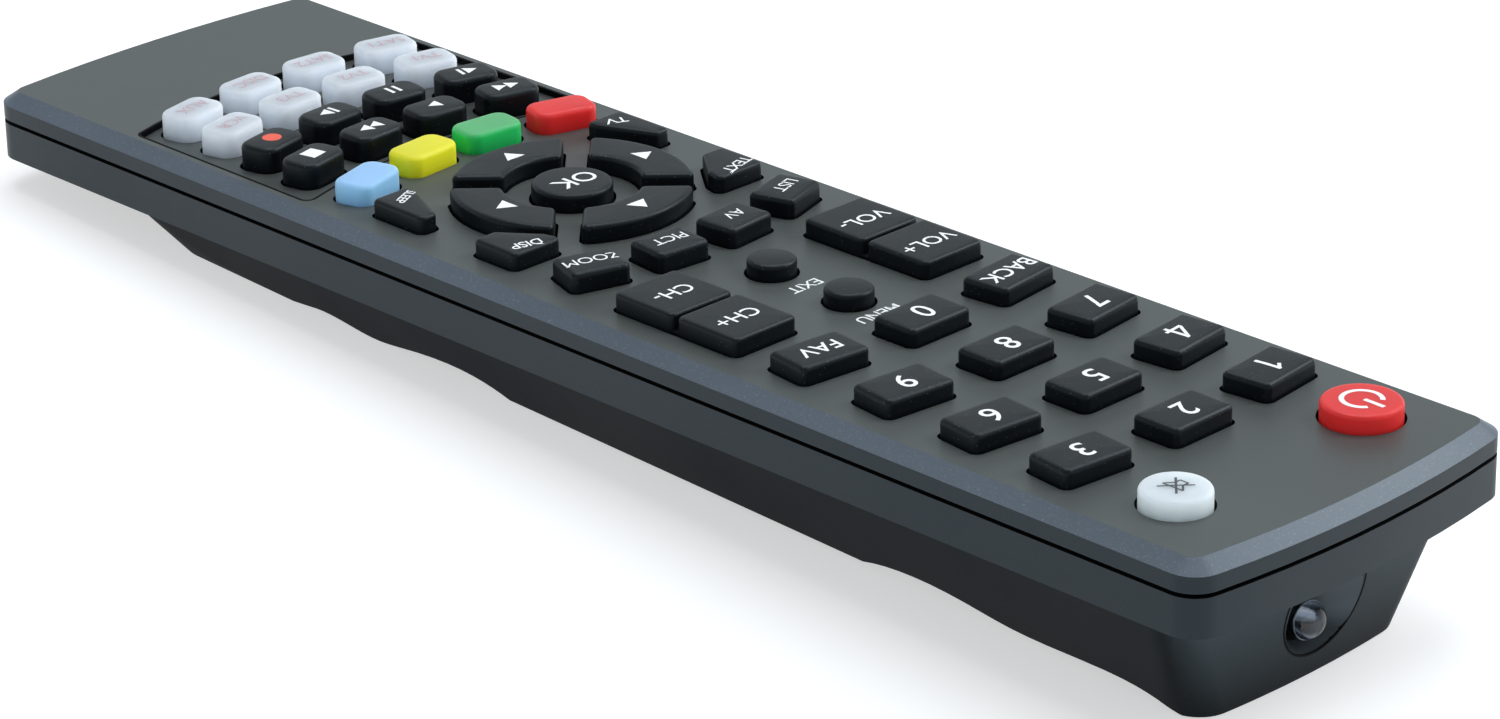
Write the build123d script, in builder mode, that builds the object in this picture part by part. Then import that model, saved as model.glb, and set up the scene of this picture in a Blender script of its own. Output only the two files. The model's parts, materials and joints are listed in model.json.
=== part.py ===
from build123d import *
from math import asin, atan2, copysign, cos, degrees, radians, sin, sqrt
import os

# A hand-held universal remote control with 51 silicone keys.
# Row frame: +Z up, +Y towards the infrared end, +X to the right when the labels are read.
# The remote lies on the flat underside of its keel, so its face leans up by a few degrees
# towards the infrared end. Plan positions are measured on the face, from the middle of the body.

# Driving sizes of the casing, in millimetres
body_length = 220.0
body_width = 55.3
infrared_end_bow_radius = 166.0
tail_end_bow_radius = 212.0
body_corner_radius = 4.0
middle_height = 19.48
rest_lean_deg = 3.19

edge_bevel_width = 2.1
edge_bevel_depth = 1.45
seam_depth = 3.8
seam_gap = 0.55
rim_depth = 9.1
shell_wall = 2.0
face_plate_thickness = 1.8
rim_floor_thickness = 2.1
tongue_thickness = 0.9
tongue_height = 1.3
tongue_clearance = 0.1
overrun = 1.0

# The keel is the deep lower body under the rim
keel_top_half_width = 25.6
keel_side_draft = 0.44
keel_front_setback = 4.8
keel_front_draft = 0.217
keel_tail_start = 22.5
keel_tail_slope_length = 10.0
keel_corner_radius = 5.0
keel_floor_thickness = 4.4
keel_foot_bevel = 0.2

# The underside between tail foot and toe: places as shares of the length from the tail end,
# and the lift of the surface over the table. The cover lies on the straight stretch.
tail_hollow_shares = [0.2, 0.235, 0.265, 0.291, 0.335, 0.365, 0.395, 0.45]
tail_hollow_lifts = [0.0, 0.05, 0.25, 1.0, 0.25, 1.2, 2.1, 0.65]
front_hollow_shares = [0.727, 0.757, 0.8, 0.83, 0.865, 0.895, 0.93]
front_hollow_lifts = [1.5, 2.9, 2.8, 1.95, 1.95, 2.3, 1.7]
toe_share = 0.948

# Recessed panel round the device and transport keys
panel_depth = 0.8
panel_half_width = 24.3
panel_tail_middle = 25.4
panel_front_middle = 60.3
panel_bow_radius = 74.0
panel_corner_radius = 1.0

# Keys: a cap through a hole in the face, a flange under the face and a foot over the board
hole_gap = 0.35
flange_overlap = 0.5
flange_clearance = 0.1
flange_thickness = 0.5
key_travel = 1.0
foot_length = 0.7
foot_inset = 1.2
foot_clearance = 0.3
cap_edge_radius = 0.6
plain_cap_height = 1.9
pad_cap_height = 2.2
round_cap_height = 2.0
tail_cap_height = 2.5
colour_cap_height = 2.7

digit_key_width = 10.4
digit_key_length = 6.9
digit_corner_radius = 0.9
digit_column_pitch = 16.5
digit_row_pitch = 13.9
digit_first_row = 80.95
digit_middle_shift = 1.05
digit_lean_deg = 6.2

power_key_radius = 4.95
mute_key_radius = 4.3
end_key_column = 16.3
end_key_row = 95.1

menu_key_radius = 3.15
menu_key_row = 28.0
exit_key_row = 14.6

rocker_width = 10.5
rocker_length = 21.4
rocker_corner_radius = 0.9
rocker_column = 16.4
rocker_row = 19.6
rocker_groove_width = 0.7
rocker_groove_depth = 1.7
rocker_tab_length = 3.0
rocker_foot_width = 6.0
rocker_foot_length = 5.0

arc_key_width = 8.1
arc_key_length = 6.5
arc_key_inner_column = 5.6
arc_key_outer_column = 16.9
arc_row_bow_radius = 58.0
arc_row_middle = 2.4

pad_row = -21.8
pad_outer_radius = 15.8
pad_inner_radius = 9.1
pad_gap = 3.5
ok_key_radius = 5.3
pad_corner_radius = 0.8

corner_key_outer = 21.8
corner_key_wide = 8.2
corner_key_waist = 7.6
corner_key_narrow = 3.6
corner_key_far = 13.0
corner_key_shoulder = 10.4
corner_key_near = 5.2
sleep_key_wide = 6.4
sleep_key_waist = 6.0
sleep_key_narrow = 2.6
sleep_key_far = 14.2
sleep_key_shoulder = 12.4
sleep_key_near = 4.5
corner_key_radius = 0.9

tail_inner_column = 5.6
tail_outer_column = 17.0
tail_key_width = 8.3
tail_key_length = 5.7
tail_corner_radius = 1.9
tail_first_row = -53.2
tail_row_pitch = 8.3
tail_row_bow_radius = 74.0

colour_key_width = 9.0
colour_key_length = 5.7
colour_corner_radius = 1.9
colour_row = -42.4
colour_row_bow_radius = 60.0

# Inside: keypad mat, circuit board, battery bay, infrared diode
mat_thickness = 0.7
board_thickness = 1.0
foot_to_board = 0.1
inner_edge_gap = 0.3
board_shelf_width = 1.5
board_tail_end = 19.0
board_front_end = 7.0
chip_size = 8.0
chip_thickness = 1.2
chip_place_share = 0.2

cell_radius = 5.25
cell_length = 44.5
cell_nub_radius = 1.9
cell_nub_length = 1.0
cell_gap = 0.3
cell_floor_gap = 0.2
bay_end_room = 3.2
bay_wall = 1.4
bay_roof = 0.8
bay_tail_end = 106.0
contact_thickness = 0.3
contact_width = 7.0
contact_touch_gap = 0.05
contact_height = 8.0
contact_tip_height = 1.4

cover_thickness = 1.3
cover_side_margin = 4.0
cover_tail_margin = 4.8
cover_front_margin = 1.6
cover_corner_radius = 2.0
cover_clearance = 0.15
hook_width = 5.0
hook_reach = 2.6
hook_root = 2.0
hook_thickness = 0.9
hook_spacing = 16.0
hook_clearance = 0.3
hook_swing_room = 3.2
thumb_rib_count = 4
thumb_rib_pitch = 1.8
thumb_rib_width = 0.9
thumb_rib_depth = 0.4
thumb_rib_length = 16.0
thumb_rib_end = 3.0

window_radius = 7.3
window_depth = 15.0
window_mouth_lead = 0.5
window_flare_length = 5.5
window_throat_radius = 3.0
diode_radius = 2.5
diode_flange_radius = 2.9
diode_flange_thickness = 1.0
diode_length = 8.6
diode_depth = 18.2
diode_tip = 6.6
diode_clearance = 0.05
diode_dome_share = 0.95
diode_lead_width = 0.5
diode_lead_pitch = 2.54
diode_lead_run = 2.2
nose_half_width = 8.6
nose_length = 11.5

screw_shank_radius = 1.1
screw_head_radius = 2.1
screw_head_height = 1.2
screw_shank_length = 5.0
screw_head_sink = 0.2
screw_clearance = 0.2
screw_bite_clearance = 0.05
boss_radius = 2.2
screw_post_radius = 3.2
tail_screw_column = 17.0
tail_screw_inset = 11.0
front_screw_row = 88.9
screw_slot_width = 0.6
screw_slot_depth = 0.5

# Levels below the face, worked out from the sizes above
face_lean = radians(rest_lean_deg)
half_length = body_length / 2
half_width = body_width / 2
flange_top = face_plate_thickness + flange_clearance
flange_bottom = flange_top + flange_thickness
foot_bottom = flange_bottom + foot_length
board_top = foot_bottom + key_travel + foot_to_board
board_bottom = board_top + board_thickness
mat_top = board_top - mat_thickness
floor_top = rim_depth - rim_floor_thickness
seam_top = seam_depth - seam_gap / 2
seam_bottom = seam_depth + seam_gap / 2

# The face plane: the middle of the body's plan lies over the row frame's origin
face_shift = -(rim_depth + edge_bevel_depth) / 2 * sin(face_lean)
face = Plane(
    origin=(0, face_shift, middle_height * cos(face_lean)),
    x_dir=(1, 0, 0),
    z_dir=(0, -sin(face_lean), cos(face_lean)),
)


def level(depth):
    """The plane parallel to the face at a depth below it; a negative depth stands above it."""
    return face.offset(-depth)


def table_depth(along):
    """Depth of the table below the face, at a place along the body."""
    return middle_height + along * sin(face_lean) / cos(face_lean)


def on_table(along):
    """Row-frame Y of the table point straight below a place on the face."""
    depth = table_depth(along)
    return face_shift + along * cos(face_lean) + depth * sin(face_lean)


def place(x, along, depth):
    """Row-frame point of a place given on the face."""
    return face.from_local_coords(Vector(x, along, -depth))


def bow_drop(bow, side):
    """How far a bowed end falls back at a distance to the side; a negative bow is hollow."""
    return side**2 / (bow + copysign(sqrt(bow**2 - side**2), bow))


def bowed_outline(front_side, tail_side, front, tail, front_bow, tail_bow, corner):
    """A plan outline with straight sides and bowed ends."""
    front_corner = front - bow_drop(front_bow, front_side)
    tail_corner = tail + bow_drop(tail_bow, tail_side)
    with BuildLine() as outline:
        ThreePointArc((front_side, front_corner), (0, front), (-front_side, front_corner))
        Line((-front_side, front_corner), (-tail_side, tail_corner))
        ThreePointArc((-tail_side, tail_corner), (0, tail), (tail_side, tail_corner))
        Line((tail_side, tail_corner), (front_side, front_corner))
    make_face(outline.edges())
    fillet(vertices(), radius=corner)


def body_outline(inset):
    """The casing's outline in plan, drawn in by an inset."""
    bowed_outline(
        half_width - inset,
        half_width - inset,
        half_length - inset,
        -half_length + inset,
        infrared_end_bow_radius - inset,
        tail_end_bow_radius - inset,
        max(body_corner_radius - inset, body_corner_radius / 4),
    )


def keel_top_outline(inset):
    """The keel's outline where it meets the rim."""
    bowed_outline(
        keel_top_half_width - inset,
        keel_top_half_width - inset,
        half_length - keel_front_setback - inset,
        -half_length + keel_tail_start + inset,
        infrared_end_bow_radius,
        tail_end_bow_radius,
        keel_corner_radius - inset / 2,
    )


def keel_foot_outline(inset, height):
    """The keel's outline on a level plane at a height over the table."""
    front_along = half_length - keel_front_setback
    tail_along = -half_length + keel_tail_start + keel_tail_slope_length
    front_drop = table_depth(front_along) - rim_depth - height
    tail_drop = table_depth(tail_along) - rim_depth - height
    bowed_outline(
        keel_top_half_width - keel_side_draft * front_drop - inset,
        keel_top_half_width - keel_side_draft * tail_drop - inset,
        on_table(front_along - keel_front_draft * front_drop) - inset,
        on_table(tail_along) + inset,
        infrared_end_bow_radius,
        tail_end_bow_radius,
        keel_corner_radius - inset / 2,
    )


# Key outlines. Each function draws one cap in plan, inside the sketch that calls it.
def box_key(x, along, width, length, corner, lean_deg=0):
    with Locations(Location((x, along, 0), (0, 0, lean_deg))):
        RectangleRounded(width, length, corner)


def round_key(x, along, radius):
    with Locations((x, along)):
        Circle(radius)


def pad_key(turn_deg):
    """A quarter of the ring round the OK key, cut back from the diagonals by half the gap."""
    setback = pad_gap / sqrt(2)
    reach = pad_outer_radius + pad_gap
    with Locations(Location((0, pad_row, 0), (0, 0, turn_deg))):
        Circle(pad_outer_radius)
        Circle(pad_inner_radius, mode=Mode.SUBTRACT)
        Polygon(
            (0, setback),
            (reach, reach + setback),
            (-reach, reach + setback),
            align=None,
            mode=Mode.INTERSECT,
        )
    fillet(vertices(), radius=pad_corner_radius)


def corner_key(side, end, far, shoulder, near, wide, waist, narrow):
    """A five-sided key beside the direction pad, widest at its far end."""
    outer = corner_key_outer
    points = [
        (outer, far),
        (outer - wide, far),
        (outer - waist, shoulder),
        (outer - narrow, near),
        (outer, near),
    ]
    with BuildLine() as outline:
        Polyline([(side * x, pad_row + end * y) for x, y in points], close=True)
    make_face(outline.edges())
    fillet(vertices(), radius=corner_key_radius)


def display_shape(side):
    corner_key(
        side, 1, corner_key_far, corner_key_shoulder, corner_key_near,
        corner_key_wide, corner_key_waist, corner_key_narrow,
    )


def sleep_shape(side):
    corner_key(
        side, -1, sleep_key_far, sleep_key_shoulder, sleep_key_near,
        sleep_key_wide, sleep_key_waist, sleep_key_narrow,
    )


# Each key: name, drawing function, its arguments, height of the cap over the face
keys = []


def add_key(name, shape, arguments, height):
    keys.append((name, shape, arguments, height))


add_key("power_key", round_key, (-end_key_column, end_key_row, power_key_radius), round_cap_height)
add_key("mute_key", round_key, (end_key_column, end_key_row, mute_key_radius), round_cap_height)

digit_names = [
    ["digit_1_key", "digit_2_key", "digit_3_key"],
    ["digit_4_key", "digit_5_key", "digit_6_key"],
    ["digit_7_key", "digit_8_key", "digit_9_key"],
    ["back_key", "digit_0_key", "favourites_key"],
]
for row, names in enumerate(digit_names):
    for column, name in zip((-1, 0, 1), names):
        shift = digit_middle_shift if column == 0 else 0
        digit_place = (column * digit_column_pitch, digit_first_row - row * digit_row_pitch + shift)
        digit_size = (digit_key_width, digit_key_length, digit_corner_radius)
        add_key(name, box_key, (*digit_place, *digit_size, -column * digit_lean_deg), plain_cap_height)

add_key("menu_key", round_key, (0, menu_key_row, menu_key_radius), plain_cap_height)
add_key("exit_key", round_key, (0, exit_key_row, menu_key_radius), plain_cap_height)

arc_columns = [-arc_key_outer_column, -arc_key_inner_column, arc_key_inner_column, arc_key_outer_column]
for column, name in zip(arc_columns, ["list_key", "input_key", "picture_key", "zoom_key"]):
    arc_along = arc_row_middle - column**2 / (2 * arc_row_bow_radius)
    arc_lean = -degrees(asin(column / arc_row_bow_radius))
    arc_size = (arc_key_width, arc_key_length, digit_corner_radius)
    add_key(name, box_key, (column, arc_along, *arc_size, arc_lean), plain_cap_height)

add_key("text_key", display_shape, (-1,), plain_cap_height)
add_key("display_key", display_shape, (1,), plain_cap_height)
add_key("source_key", sleep_shape, (-1,), plain_cap_height)
add_key("sleep_key", sleep_shape, (1,), plain_cap_height)

for name, turn in [("up_key", 0), ("left_key", 90), ("down_key", 180), ("right_key", 270)]:
    add_key(name, pad_key, (turn,), pad_cap_height)
add_key("ok_key", round_key, (0, pad_row, ok_key_radius), pad_cap_height)

tail_columns = [-tail_outer_column, -tail_inner_column, tail_inner_column, tail_outer_column]
colour_size = (colour_key_width, colour_key_length, colour_corner_radius)
for column, name in zip(tail_columns, ["red_key", "green_key", "yellow_key", "blue_key"]):
    colour_along = colour_row - (tail_outer_column**2 - column**2) / (2 * colour_row_bow_radius)
    colour_lean = degrees(column / colour_row_bow_radius)
    add_key(name, box_key, (column, colour_along, *colour_size, colour_lean), colour_cap_height)

tail_names = [
    ["rewind_key", "play_key", "forward_key", "stop_key"],
    ["step_back_key", "pause_key", "step_forward_key", "record_key"],
    ["device_1_key", "device_2_key", "device_3_key", "device_4_key"],
    ["device_5_key", "device_6_key", "device_7_key", "device_8_key"],
]
tail_size = (tail_key_width, tail_key_length, tail_corner_radius)
for row, names in enumerate(tail_names):
    for column, name in zip(tail_columns, names):
        row_bow = (tail_outer_column**2 - column**2) / (2 * tail_row_bow_radius)
        tail_along = tail_first_row - row * tail_row_pitch - row_bow
        tail_lean = degrees(column / tail_row_bow_radius)
        tail_shape = (column, tail_along, *tail_size, tail_lean)
        add_key(name, box_key, tail_shape, tail_cap_height)

rocker_size = (rocker_width, rocker_length, rocker_corner_radius)
rockers = [("volume_rocker", -1), ("channel_rocker", 1)]

# The bay's own plane lies on the straight stretch of the underside; its places run from the
# tail end of that stretch
def underside_point(share, lift):
    """A point of the underside as row-frame Y and Z."""
    return (on_table(-half_length + share * body_length), lift)


stretch_start = underside_point(tail_hollow_shares[-1], tail_hollow_lifts[-1])
stretch_end = underside_point(front_hollow_shares[0], front_hollow_lifts[0])
stretch_rise = stretch_end[1] - stretch_start[1]
stretch_run = stretch_end[0] - stretch_start[0]
bay_lean = atan2(stretch_rise, stretch_run)
bay_plane = Plane(
    origin=(0, stretch_start[0], stretch_start[1]),
    x_dir=(1, 0, 0),
    z_dir=(0, -sin(bay_lean), cos(bay_lean)),
)


def bay_level(height):
    """The plane parallel to the cover at a height over its outer face."""
    return bay_plane.offset(height)


bay_tail = bay_tail_end - tail_hollow_shares[-1] * body_length
bay_length = cell_length + cell_nub_length + 2 * bay_end_room
bay_front = bay_tail + bay_length
bay_half_width = 2 * cell_radius + cell_gap
cell_column = cell_radius + cell_gap / 2
cell_axis_height = cover_thickness + cell_floor_gap + cell_radius
bay_ceiling = cell_axis_height + cell_radius + cell_floor_gap
cover_tail = bay_tail - cover_tail_margin
cover_front = bay_front + cover_front_margin
cover_half_width = bay_half_width + cover_side_margin
board_tail = -half_length + board_tail_end
board_front = half_length - board_front_end
tail_screw_along = -half_length + tail_screw_inset
screws_at = [
    (-tail_screw_column, tail_screw_along),
    (tail_screw_column, tail_screw_along),
    (0, front_screw_row),
]
screw_shelf = rim_depth - screw_head_sink - screw_head_height
nose_tail = half_length - keel_front_setback - nose_length
diode_front = half_length - diode_tip
diode_back = diode_front - diode_length
lead_along = diode_back - diode_lead_run
foot_grid = rocker_length / 4


def along_plane(along, depth):
    """A plane across the body, looking towards the infrared end, centred on a place."""
    return Plane(origin=place(0, along, depth), x_dir=(1, 0, 0), z_dir=face.y_dir)


def box_between(x_from, x_to, along_from, along_to, mode=Mode.ADD):
    """A rectangle given by its sides, in the sketch that calls it."""
    with Locations(((x_from + x_to) / 2, (along_from + along_to) / 2)):
        Rectangle(x_to - x_from, along_to - along_from, mode=mode)


os.makedirs("parts", exist_ok=True)

# The upper half of the casing: a bevelled face plate with its key holes, panel and screw bosses
with BuildPart() as top_shell:
    with BuildSketch(level(0)):
        body_outline(0)
    extrude(amount=-seam_top)
    face_top = top_shell.faces().sort_by(Axis(face.origin, face.z_dir))[-1]
    chamfer(face_top.edges(), edge_bevel_width, edge_bevel_depth, reference=face_top)
    with BuildSketch(level(face_plate_thickness)):
        body_outline(shell_wall)
    extrude(amount=-seam_top, mode=Mode.SUBTRACT)
    with BuildSketch(level(seam_bottom - tongue_height - tongue_clearance)):
        body_outline(shell_wall - tongue_thickness - tongue_clearance)
    extrude(amount=-seam_top, mode=Mode.SUBTRACT)
    with BuildSketch(level(-overrun)):
        bowed_outline(
            panel_half_width,
            panel_half_width,
            -half_length + panel_front_middle,
            -half_length + panel_tail_middle,
            -panel_bow_radius,
            panel_bow_radius,
            panel_corner_radius,
        )
    extrude(amount=-panel_depth - overrun, mode=Mode.SUBTRACT)
    for name, shape, arguments, height in keys:
        with BuildSketch(level(-overrun)):
            shape(*arguments)
            offset(amount=hole_gap)
        extrude(amount=-face_plate_thickness - 2 * overrun, mode=Mode.SUBTRACT)
    for name, side in rockers:
        with BuildSketch(level(-overrun)):
            box_key(side * rocker_column, rocker_row, *rocker_size)
            offset(amount=hole_gap)
        extrude(amount=-face_plate_thickness - 2 * overrun, mode=Mode.SUBTRACT)
    with BuildSketch(level(face_plate_thickness)):
        with Locations(*screws_at):
            Circle(boss_radius)
    extrude(amount=face_plate_thickness - floor_top)
    with BuildSketch(level(floor_top)):
        with Locations(*screws_at):
            Circle(screw_shank_radius + screw_bite_clearance)
    extrude(amount=floor_top - flange_bottom, mode=Mode.SUBTRACT)
top_shell.part.label = "top_shell"
export_step(top_shell.part, "parts/top_shell.step")

# The keel as a full body, and its hollow
with BuildPart() as keel:
    with BuildSketch(level(rim_depth)) as keel_top:
        keel_top_outline(0)
    with BuildSketch(Plane.XY.offset(keel_foot_bevel)) as keel_foot:
        keel_foot_outline(0, keel_foot_bevel)
    loft([keel_top.sketch, keel_foot.sketch], ruled=True)
    with BuildSketch(Plane.XY.offset(keel_foot_bevel)) as bevel_top:
        keel_foot_outline(0, keel_foot_bevel)
    with BuildSketch(Plane.XY) as bevel_foot:
        keel_foot_outline(keel_foot_bevel, 0)
    loft([bevel_top.sketch, bevel_foot.sketch], ruled=True)

with BuildPart() as keel_hollow:
    with BuildSketch(level(floor_top)) as hollow_top:
        keel_top_outline(shell_wall)
    with BuildSketch(Plane.XY.offset(keel_floor_thickness)) as hollow_foot:
        keel_foot_outline(shell_wall, keel_floor_thickness)
    loft([hollow_top.sketch, hollow_foot.sketch], ruled=True)

# The nose of the keel, full behind the infrared window
with BuildPart() as nose:
    add(keel.part)
    with BuildSketch(level(rim_depth)):
        box_between(-nose_half_width, nose_half_width, nose_tail, half_length)
    extrude(amount=-body_width, mode=Mode.INTERSECT)

# The dish in front of the diode, flat along the rim's underside
with BuildPart() as window_flare:
    window_front = half_length - keel_front_setback
    mouth_along = window_front - keel_front_draft * (window_depth - rim_depth) + window_mouth_lead
    mouth_plane = Plane(
        origin=place(0, mouth_along, window_depth),
        x_dir=(1, 0, 0),
        z_dir=face.y_dir - face.z_dir * keel_front_draft,
    )
    with BuildSketch(mouth_plane) as flare_mouth:
        Circle(window_radius)
    with BuildSketch(along_plane(window_front - window_flare_length, diode_depth)) as flare_throat:
        Circle(window_throat_radius)
    loft([flare_mouth.sketch, flare_throat.sketch], ruled=True)
    with BuildSketch(level(rim_depth)):
        box_between(-half_width, half_width, 0, body_length)
    extrude(amount=-body_width, mode=Mode.INTERSECT)

# The lower half of the casing: rim tray, drafted keel, battery bay, infrared window, screw posts
with BuildPart() as bottom_shell:
    add(keel.part)
    with BuildSketch(level(seam_bottom)):
        body_outline(0)
    extrude(amount=seam_bottom - rim_depth)
    with BuildSketch(level(seam_bottom)):
        body_outline(shell_wall)
    extrude(amount=seam_bottom - floor_top, mode=Mode.SUBTRACT)
    with BuildSketch(level(seam_bottom - tongue_height)):
        body_outline(shell_wall - tongue_thickness)
    extrude(amount=seam_bottom - tongue_height - board_bottom)
    with BuildSketch(level(seam_bottom - tongue_height)):
        body_outline(shell_wall)
    extrude(amount=seam_bottom - tongue_height - board_bottom, mode=Mode.SUBTRACT)
    with BuildSketch(level(board_bottom)):
        body_outline(shell_wall + board_shelf_width)
    extrude(amount=board_bottom - floor_top, mode=Mode.SUBTRACT)
    add(keel_hollow.part, mode=Mode.SUBTRACT)
    add(nose.part)
    with BuildSketch(bay_level(cover_thickness)):
        box_between(
            -bay_half_width - bay_wall,
            bay_half_width + bay_wall,
            bay_tail - bay_wall,
            bay_front + bay_wall,
        )
    extrude(amount=bay_ceiling + bay_roof - cover_thickness)
    with BuildSketch(level(floor_top)):
        with Locations((0, front_screw_row)):
            Circle(screw_post_radius)
    extrude(amount=floor_top + keel_floor_thickness - table_depth(front_screw_row))
    with BuildSketch(Plane.YZ):
        with BuildLine():
            tail_points = [underside_point(*pair) for pair in zip(tail_hollow_shares, tail_hollow_lifts)]
            front_points = [underside_point(*pair) for pair in zip(front_hollow_shares, front_hollow_lifts)]
            toe_point = underside_point(toe_share, 0)
            Spline(*tail_points)
            Line(tail_points[-1], front_points[0])
            Spline(*front_points, toe_point)
            Polyline(
                toe_point,
                (toe_point[0], -overrun),
                (tail_points[0][0], -overrun),
                tail_points[0],
            )
        make_face()
    extrude(amount=body_width, both=True, mode=Mode.SUBTRACT)
    with BuildSketch(bay_level(-overrun)):
        with Locations((0, (cover_tail + cover_front) / 2)):
            RectangleRounded(
                2 * (cover_half_width + cover_clearance),
                cover_front - cover_tail + 2 * cover_clearance,
                cover_corner_radius + cover_clearance,
            )
    extrude(amount=overrun + cover_thickness, mode=Mode.SUBTRACT)
    with BuildSketch(bay_level(cover_thickness)):
        box_between(-bay_half_width, bay_half_width, bay_tail, bay_front)
    extrude(amount=bay_ceiling - cover_thickness, mode=Mode.SUBTRACT)
    for side in (-1, 1):
        with BuildSketch(bay_level(cover_thickness - hook_clearance)):
            box_between(
                side * hook_spacing / 2 - hook_width / 2 - hook_clearance,
                side * hook_spacing / 2 + hook_width / 2 + hook_clearance,
                cover_tail - hook_reach - hook_clearance,
                cover_tail + hook_swing_room,
            )
        extrude(amount=keel_floor_thickness, mode=Mode.SUBTRACT)
    add(window_flare.part, mode=Mode.SUBTRACT)
    with BuildSketch(along_plane(nose_tail - overrun, diode_depth)):
        Circle(diode_radius + diode_clearance)
    extrude(amount=nose_length, mode=Mode.SUBTRACT)
    with BuildSketch(along_plane(nose_tail - overrun, diode_depth)):
        Circle(diode_flange_radius + diode_clearance)
    extrude(amount=diode_back + diode_flange_thickness - nose_tail + overrun, mode=Mode.SUBTRACT)
    with BuildSketch(level(screw_shelf)):
        with Locations(*screws_at):
            Circle(screw_head_radius + screw_clearance)
    extrude(amount=-middle_height, mode=Mode.SUBTRACT)
    with BuildSketch(level(floor_top - overrun)):
        with Locations(*screws_at):
            Circle(screw_shank_radius + screw_clearance)
    extrude(amount=-rim_depth, mode=Mode.SUBTRACT)
bottom_shell.part.label = "bottom_shell"
export_step(bottom_shell.part, "parts/bottom_shell.step")

# The battery cover: a plate flush with the underside, two hooks at its tail end, ribs for a thumb
with BuildPart() as battery_cover:
    with BuildSketch(bay_level(0)):
        with Locations((0, (cover_tail + cover_front) / 2)):
            RectangleRounded(2 * cover_half_width, cover_front - cover_tail, cover_corner_radius)
    extrude(amount=cover_thickness)
    with BuildSketch(bay_level(0)):
        with Locations((0, cover_front - thumb_rib_end - thumb_rib_count * thumb_rib_pitch / 2)):
            with GridLocations(0, thumb_rib_pitch, 1, thumb_rib_count):
                SlotOverall(thumb_rib_length, thumb_rib_width)
    extrude(amount=thumb_rib_depth, mode=Mode.SUBTRACT)
    for side in (-1, 1):
        with BuildSketch(bay_level(cover_thickness)):
            box_between(
                side * hook_spacing / 2 - hook_width / 2,
                side * hook_spacing / 2 + hook_width / 2,
                cover_tail - hook_reach,
                cover_tail + hook_root,
            )
        extrude(amount=hook_thickness)
battery_cover.part.label = "battery_cover"
export_step(battery_cover.part, "parts/battery_cover.step")

# Silicone mat over the board, with a hole for the foot of each key
with BuildPart() as keypad_mat:
    with BuildSketch(level(mat_top)):
        body_outline(shell_wall + inner_edge_gap)
        box_between(-body_width, body_width, board_tail, board_front, mode=Mode.INTERSECT)
    extrude(amount=-mat_thickness)
    for name, shape, arguments, height in keys:
        with BuildSketch(level(mat_top)):
            shape(*arguments)
            offset(amount=foot_clearance - foot_inset)
        extrude(amount=-mat_thickness, mode=Mode.SUBTRACT)
    for name, side in rockers:
        with BuildSketch(level(mat_top)):
            for end in (-1, 1):
                with Locations((side * rocker_column, rocker_row + end * foot_grid)):
                    Rectangle(rocker_foot_width + 2 * foot_clearance, rocker_foot_length + 2 * foot_clearance)
        extrude(amount=-mat_thickness, mode=Mode.SUBTRACT)
    with BuildSketch(level(mat_top)):
        with Locations((0, front_screw_row)):
            Circle(boss_radius + foot_clearance)
    extrude(amount=-mat_thickness, mode=Mode.SUBTRACT)
keypad_mat.part.label = "keypad_mat"
export_step(keypad_mat.part, "parts/keypad_mat.step")

# Circuit board on the ledge of the lower shell, with its controller soldered underneath
with BuildPart() as circuit_board:
    with BuildSketch(level(board_top)):
        body_outline(shell_wall + inner_edge_gap)
        box_between(-body_width, body_width, board_tail, board_front, mode=Mode.INTERSECT)
        with Locations((0, front_screw_row)):
            Circle(boss_radius + foot_clearance, mode=Mode.SUBTRACT)
    extrude(amount=-board_thickness)
    with BuildSketch(level(board_bottom)):
        with Locations((0, -half_length + chip_place_share * body_length)):
            Rectangle(chip_size, chip_size)
    extrude(amount=-chip_thickness)
circuit_board.part.label = "circuit_board"
export_step(circuit_board.part, "parts/circuit_board.step")

# Clear infrared diode with its two leads bent up to the board
with BuildPart() as infrared_diode:
    with BuildSketch(along_plane(diode_back, diode_depth)):
        Circle(diode_radius)
    extrude(amount=diode_length)
    dome_edge = infrared_diode.faces().sort_by(Axis(face.origin, face.y_dir))[-1].edges()
    fillet(dome_edge, radius=diode_radius * diode_dome_share)
    with BuildSketch(along_plane(diode_back, diode_depth)):
        Circle(diode_flange_radius)
    extrude(amount=diode_flange_thickness)
    for side in (-1, 1):
        lead_column = side * diode_lead_pitch / 2
        with BuildSketch(along_plane(lead_along, diode_depth)):
            with Locations((lead_column, 0)):
                Rectangle(diode_lead_width, diode_lead_width)
        extrude(amount=diode_back - lead_along)
        with BuildSketch(level(board_bottom)):
            with Locations((lead_column, lead_along)):
                Rectangle(diode_lead_width, diode_lead_width)
        extrude(amount=board_bottom - diode_depth - diode_lead_width / 2)
infrared_diode.part.label = "infrared_diode"
export_step(infrared_diode.part, "parts/infrared_diode.step")

# Two round cells side by side, head to tail
with BuildPart() as batteries:
    for side in (-1, 1):
        cell_start = bay_tail + bay_end_room + cell_nub_length * (1 - side) / 2
        nub_start = cell_start + cell_length if side > 0 else cell_start - cell_nub_length
        cell_plane = Plane(
            origin=bay_plane.from_local_coords(Vector(side * cell_column, cell_start, cell_axis_height)),
            x_dir=(1, 0, 0),
            z_dir=bay_plane.y_dir,
        )
        nub_plane = Plane(
            origin=bay_plane.from_local_coords(Vector(side * cell_column, nub_start, cell_axis_height)),
            x_dir=(1, 0, 0),
            z_dir=bay_plane.y_dir,
        )
        with BuildSketch(cell_plane):
            Circle(cell_radius)
        extrude(amount=cell_length)
        with BuildSketch(nub_plane):
            Circle(cell_nub_radius)
        extrude(amount=cell_nub_length)
batteries.part.label = "batteries"
export_step(batteries.part, "parts/batteries.step")

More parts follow.
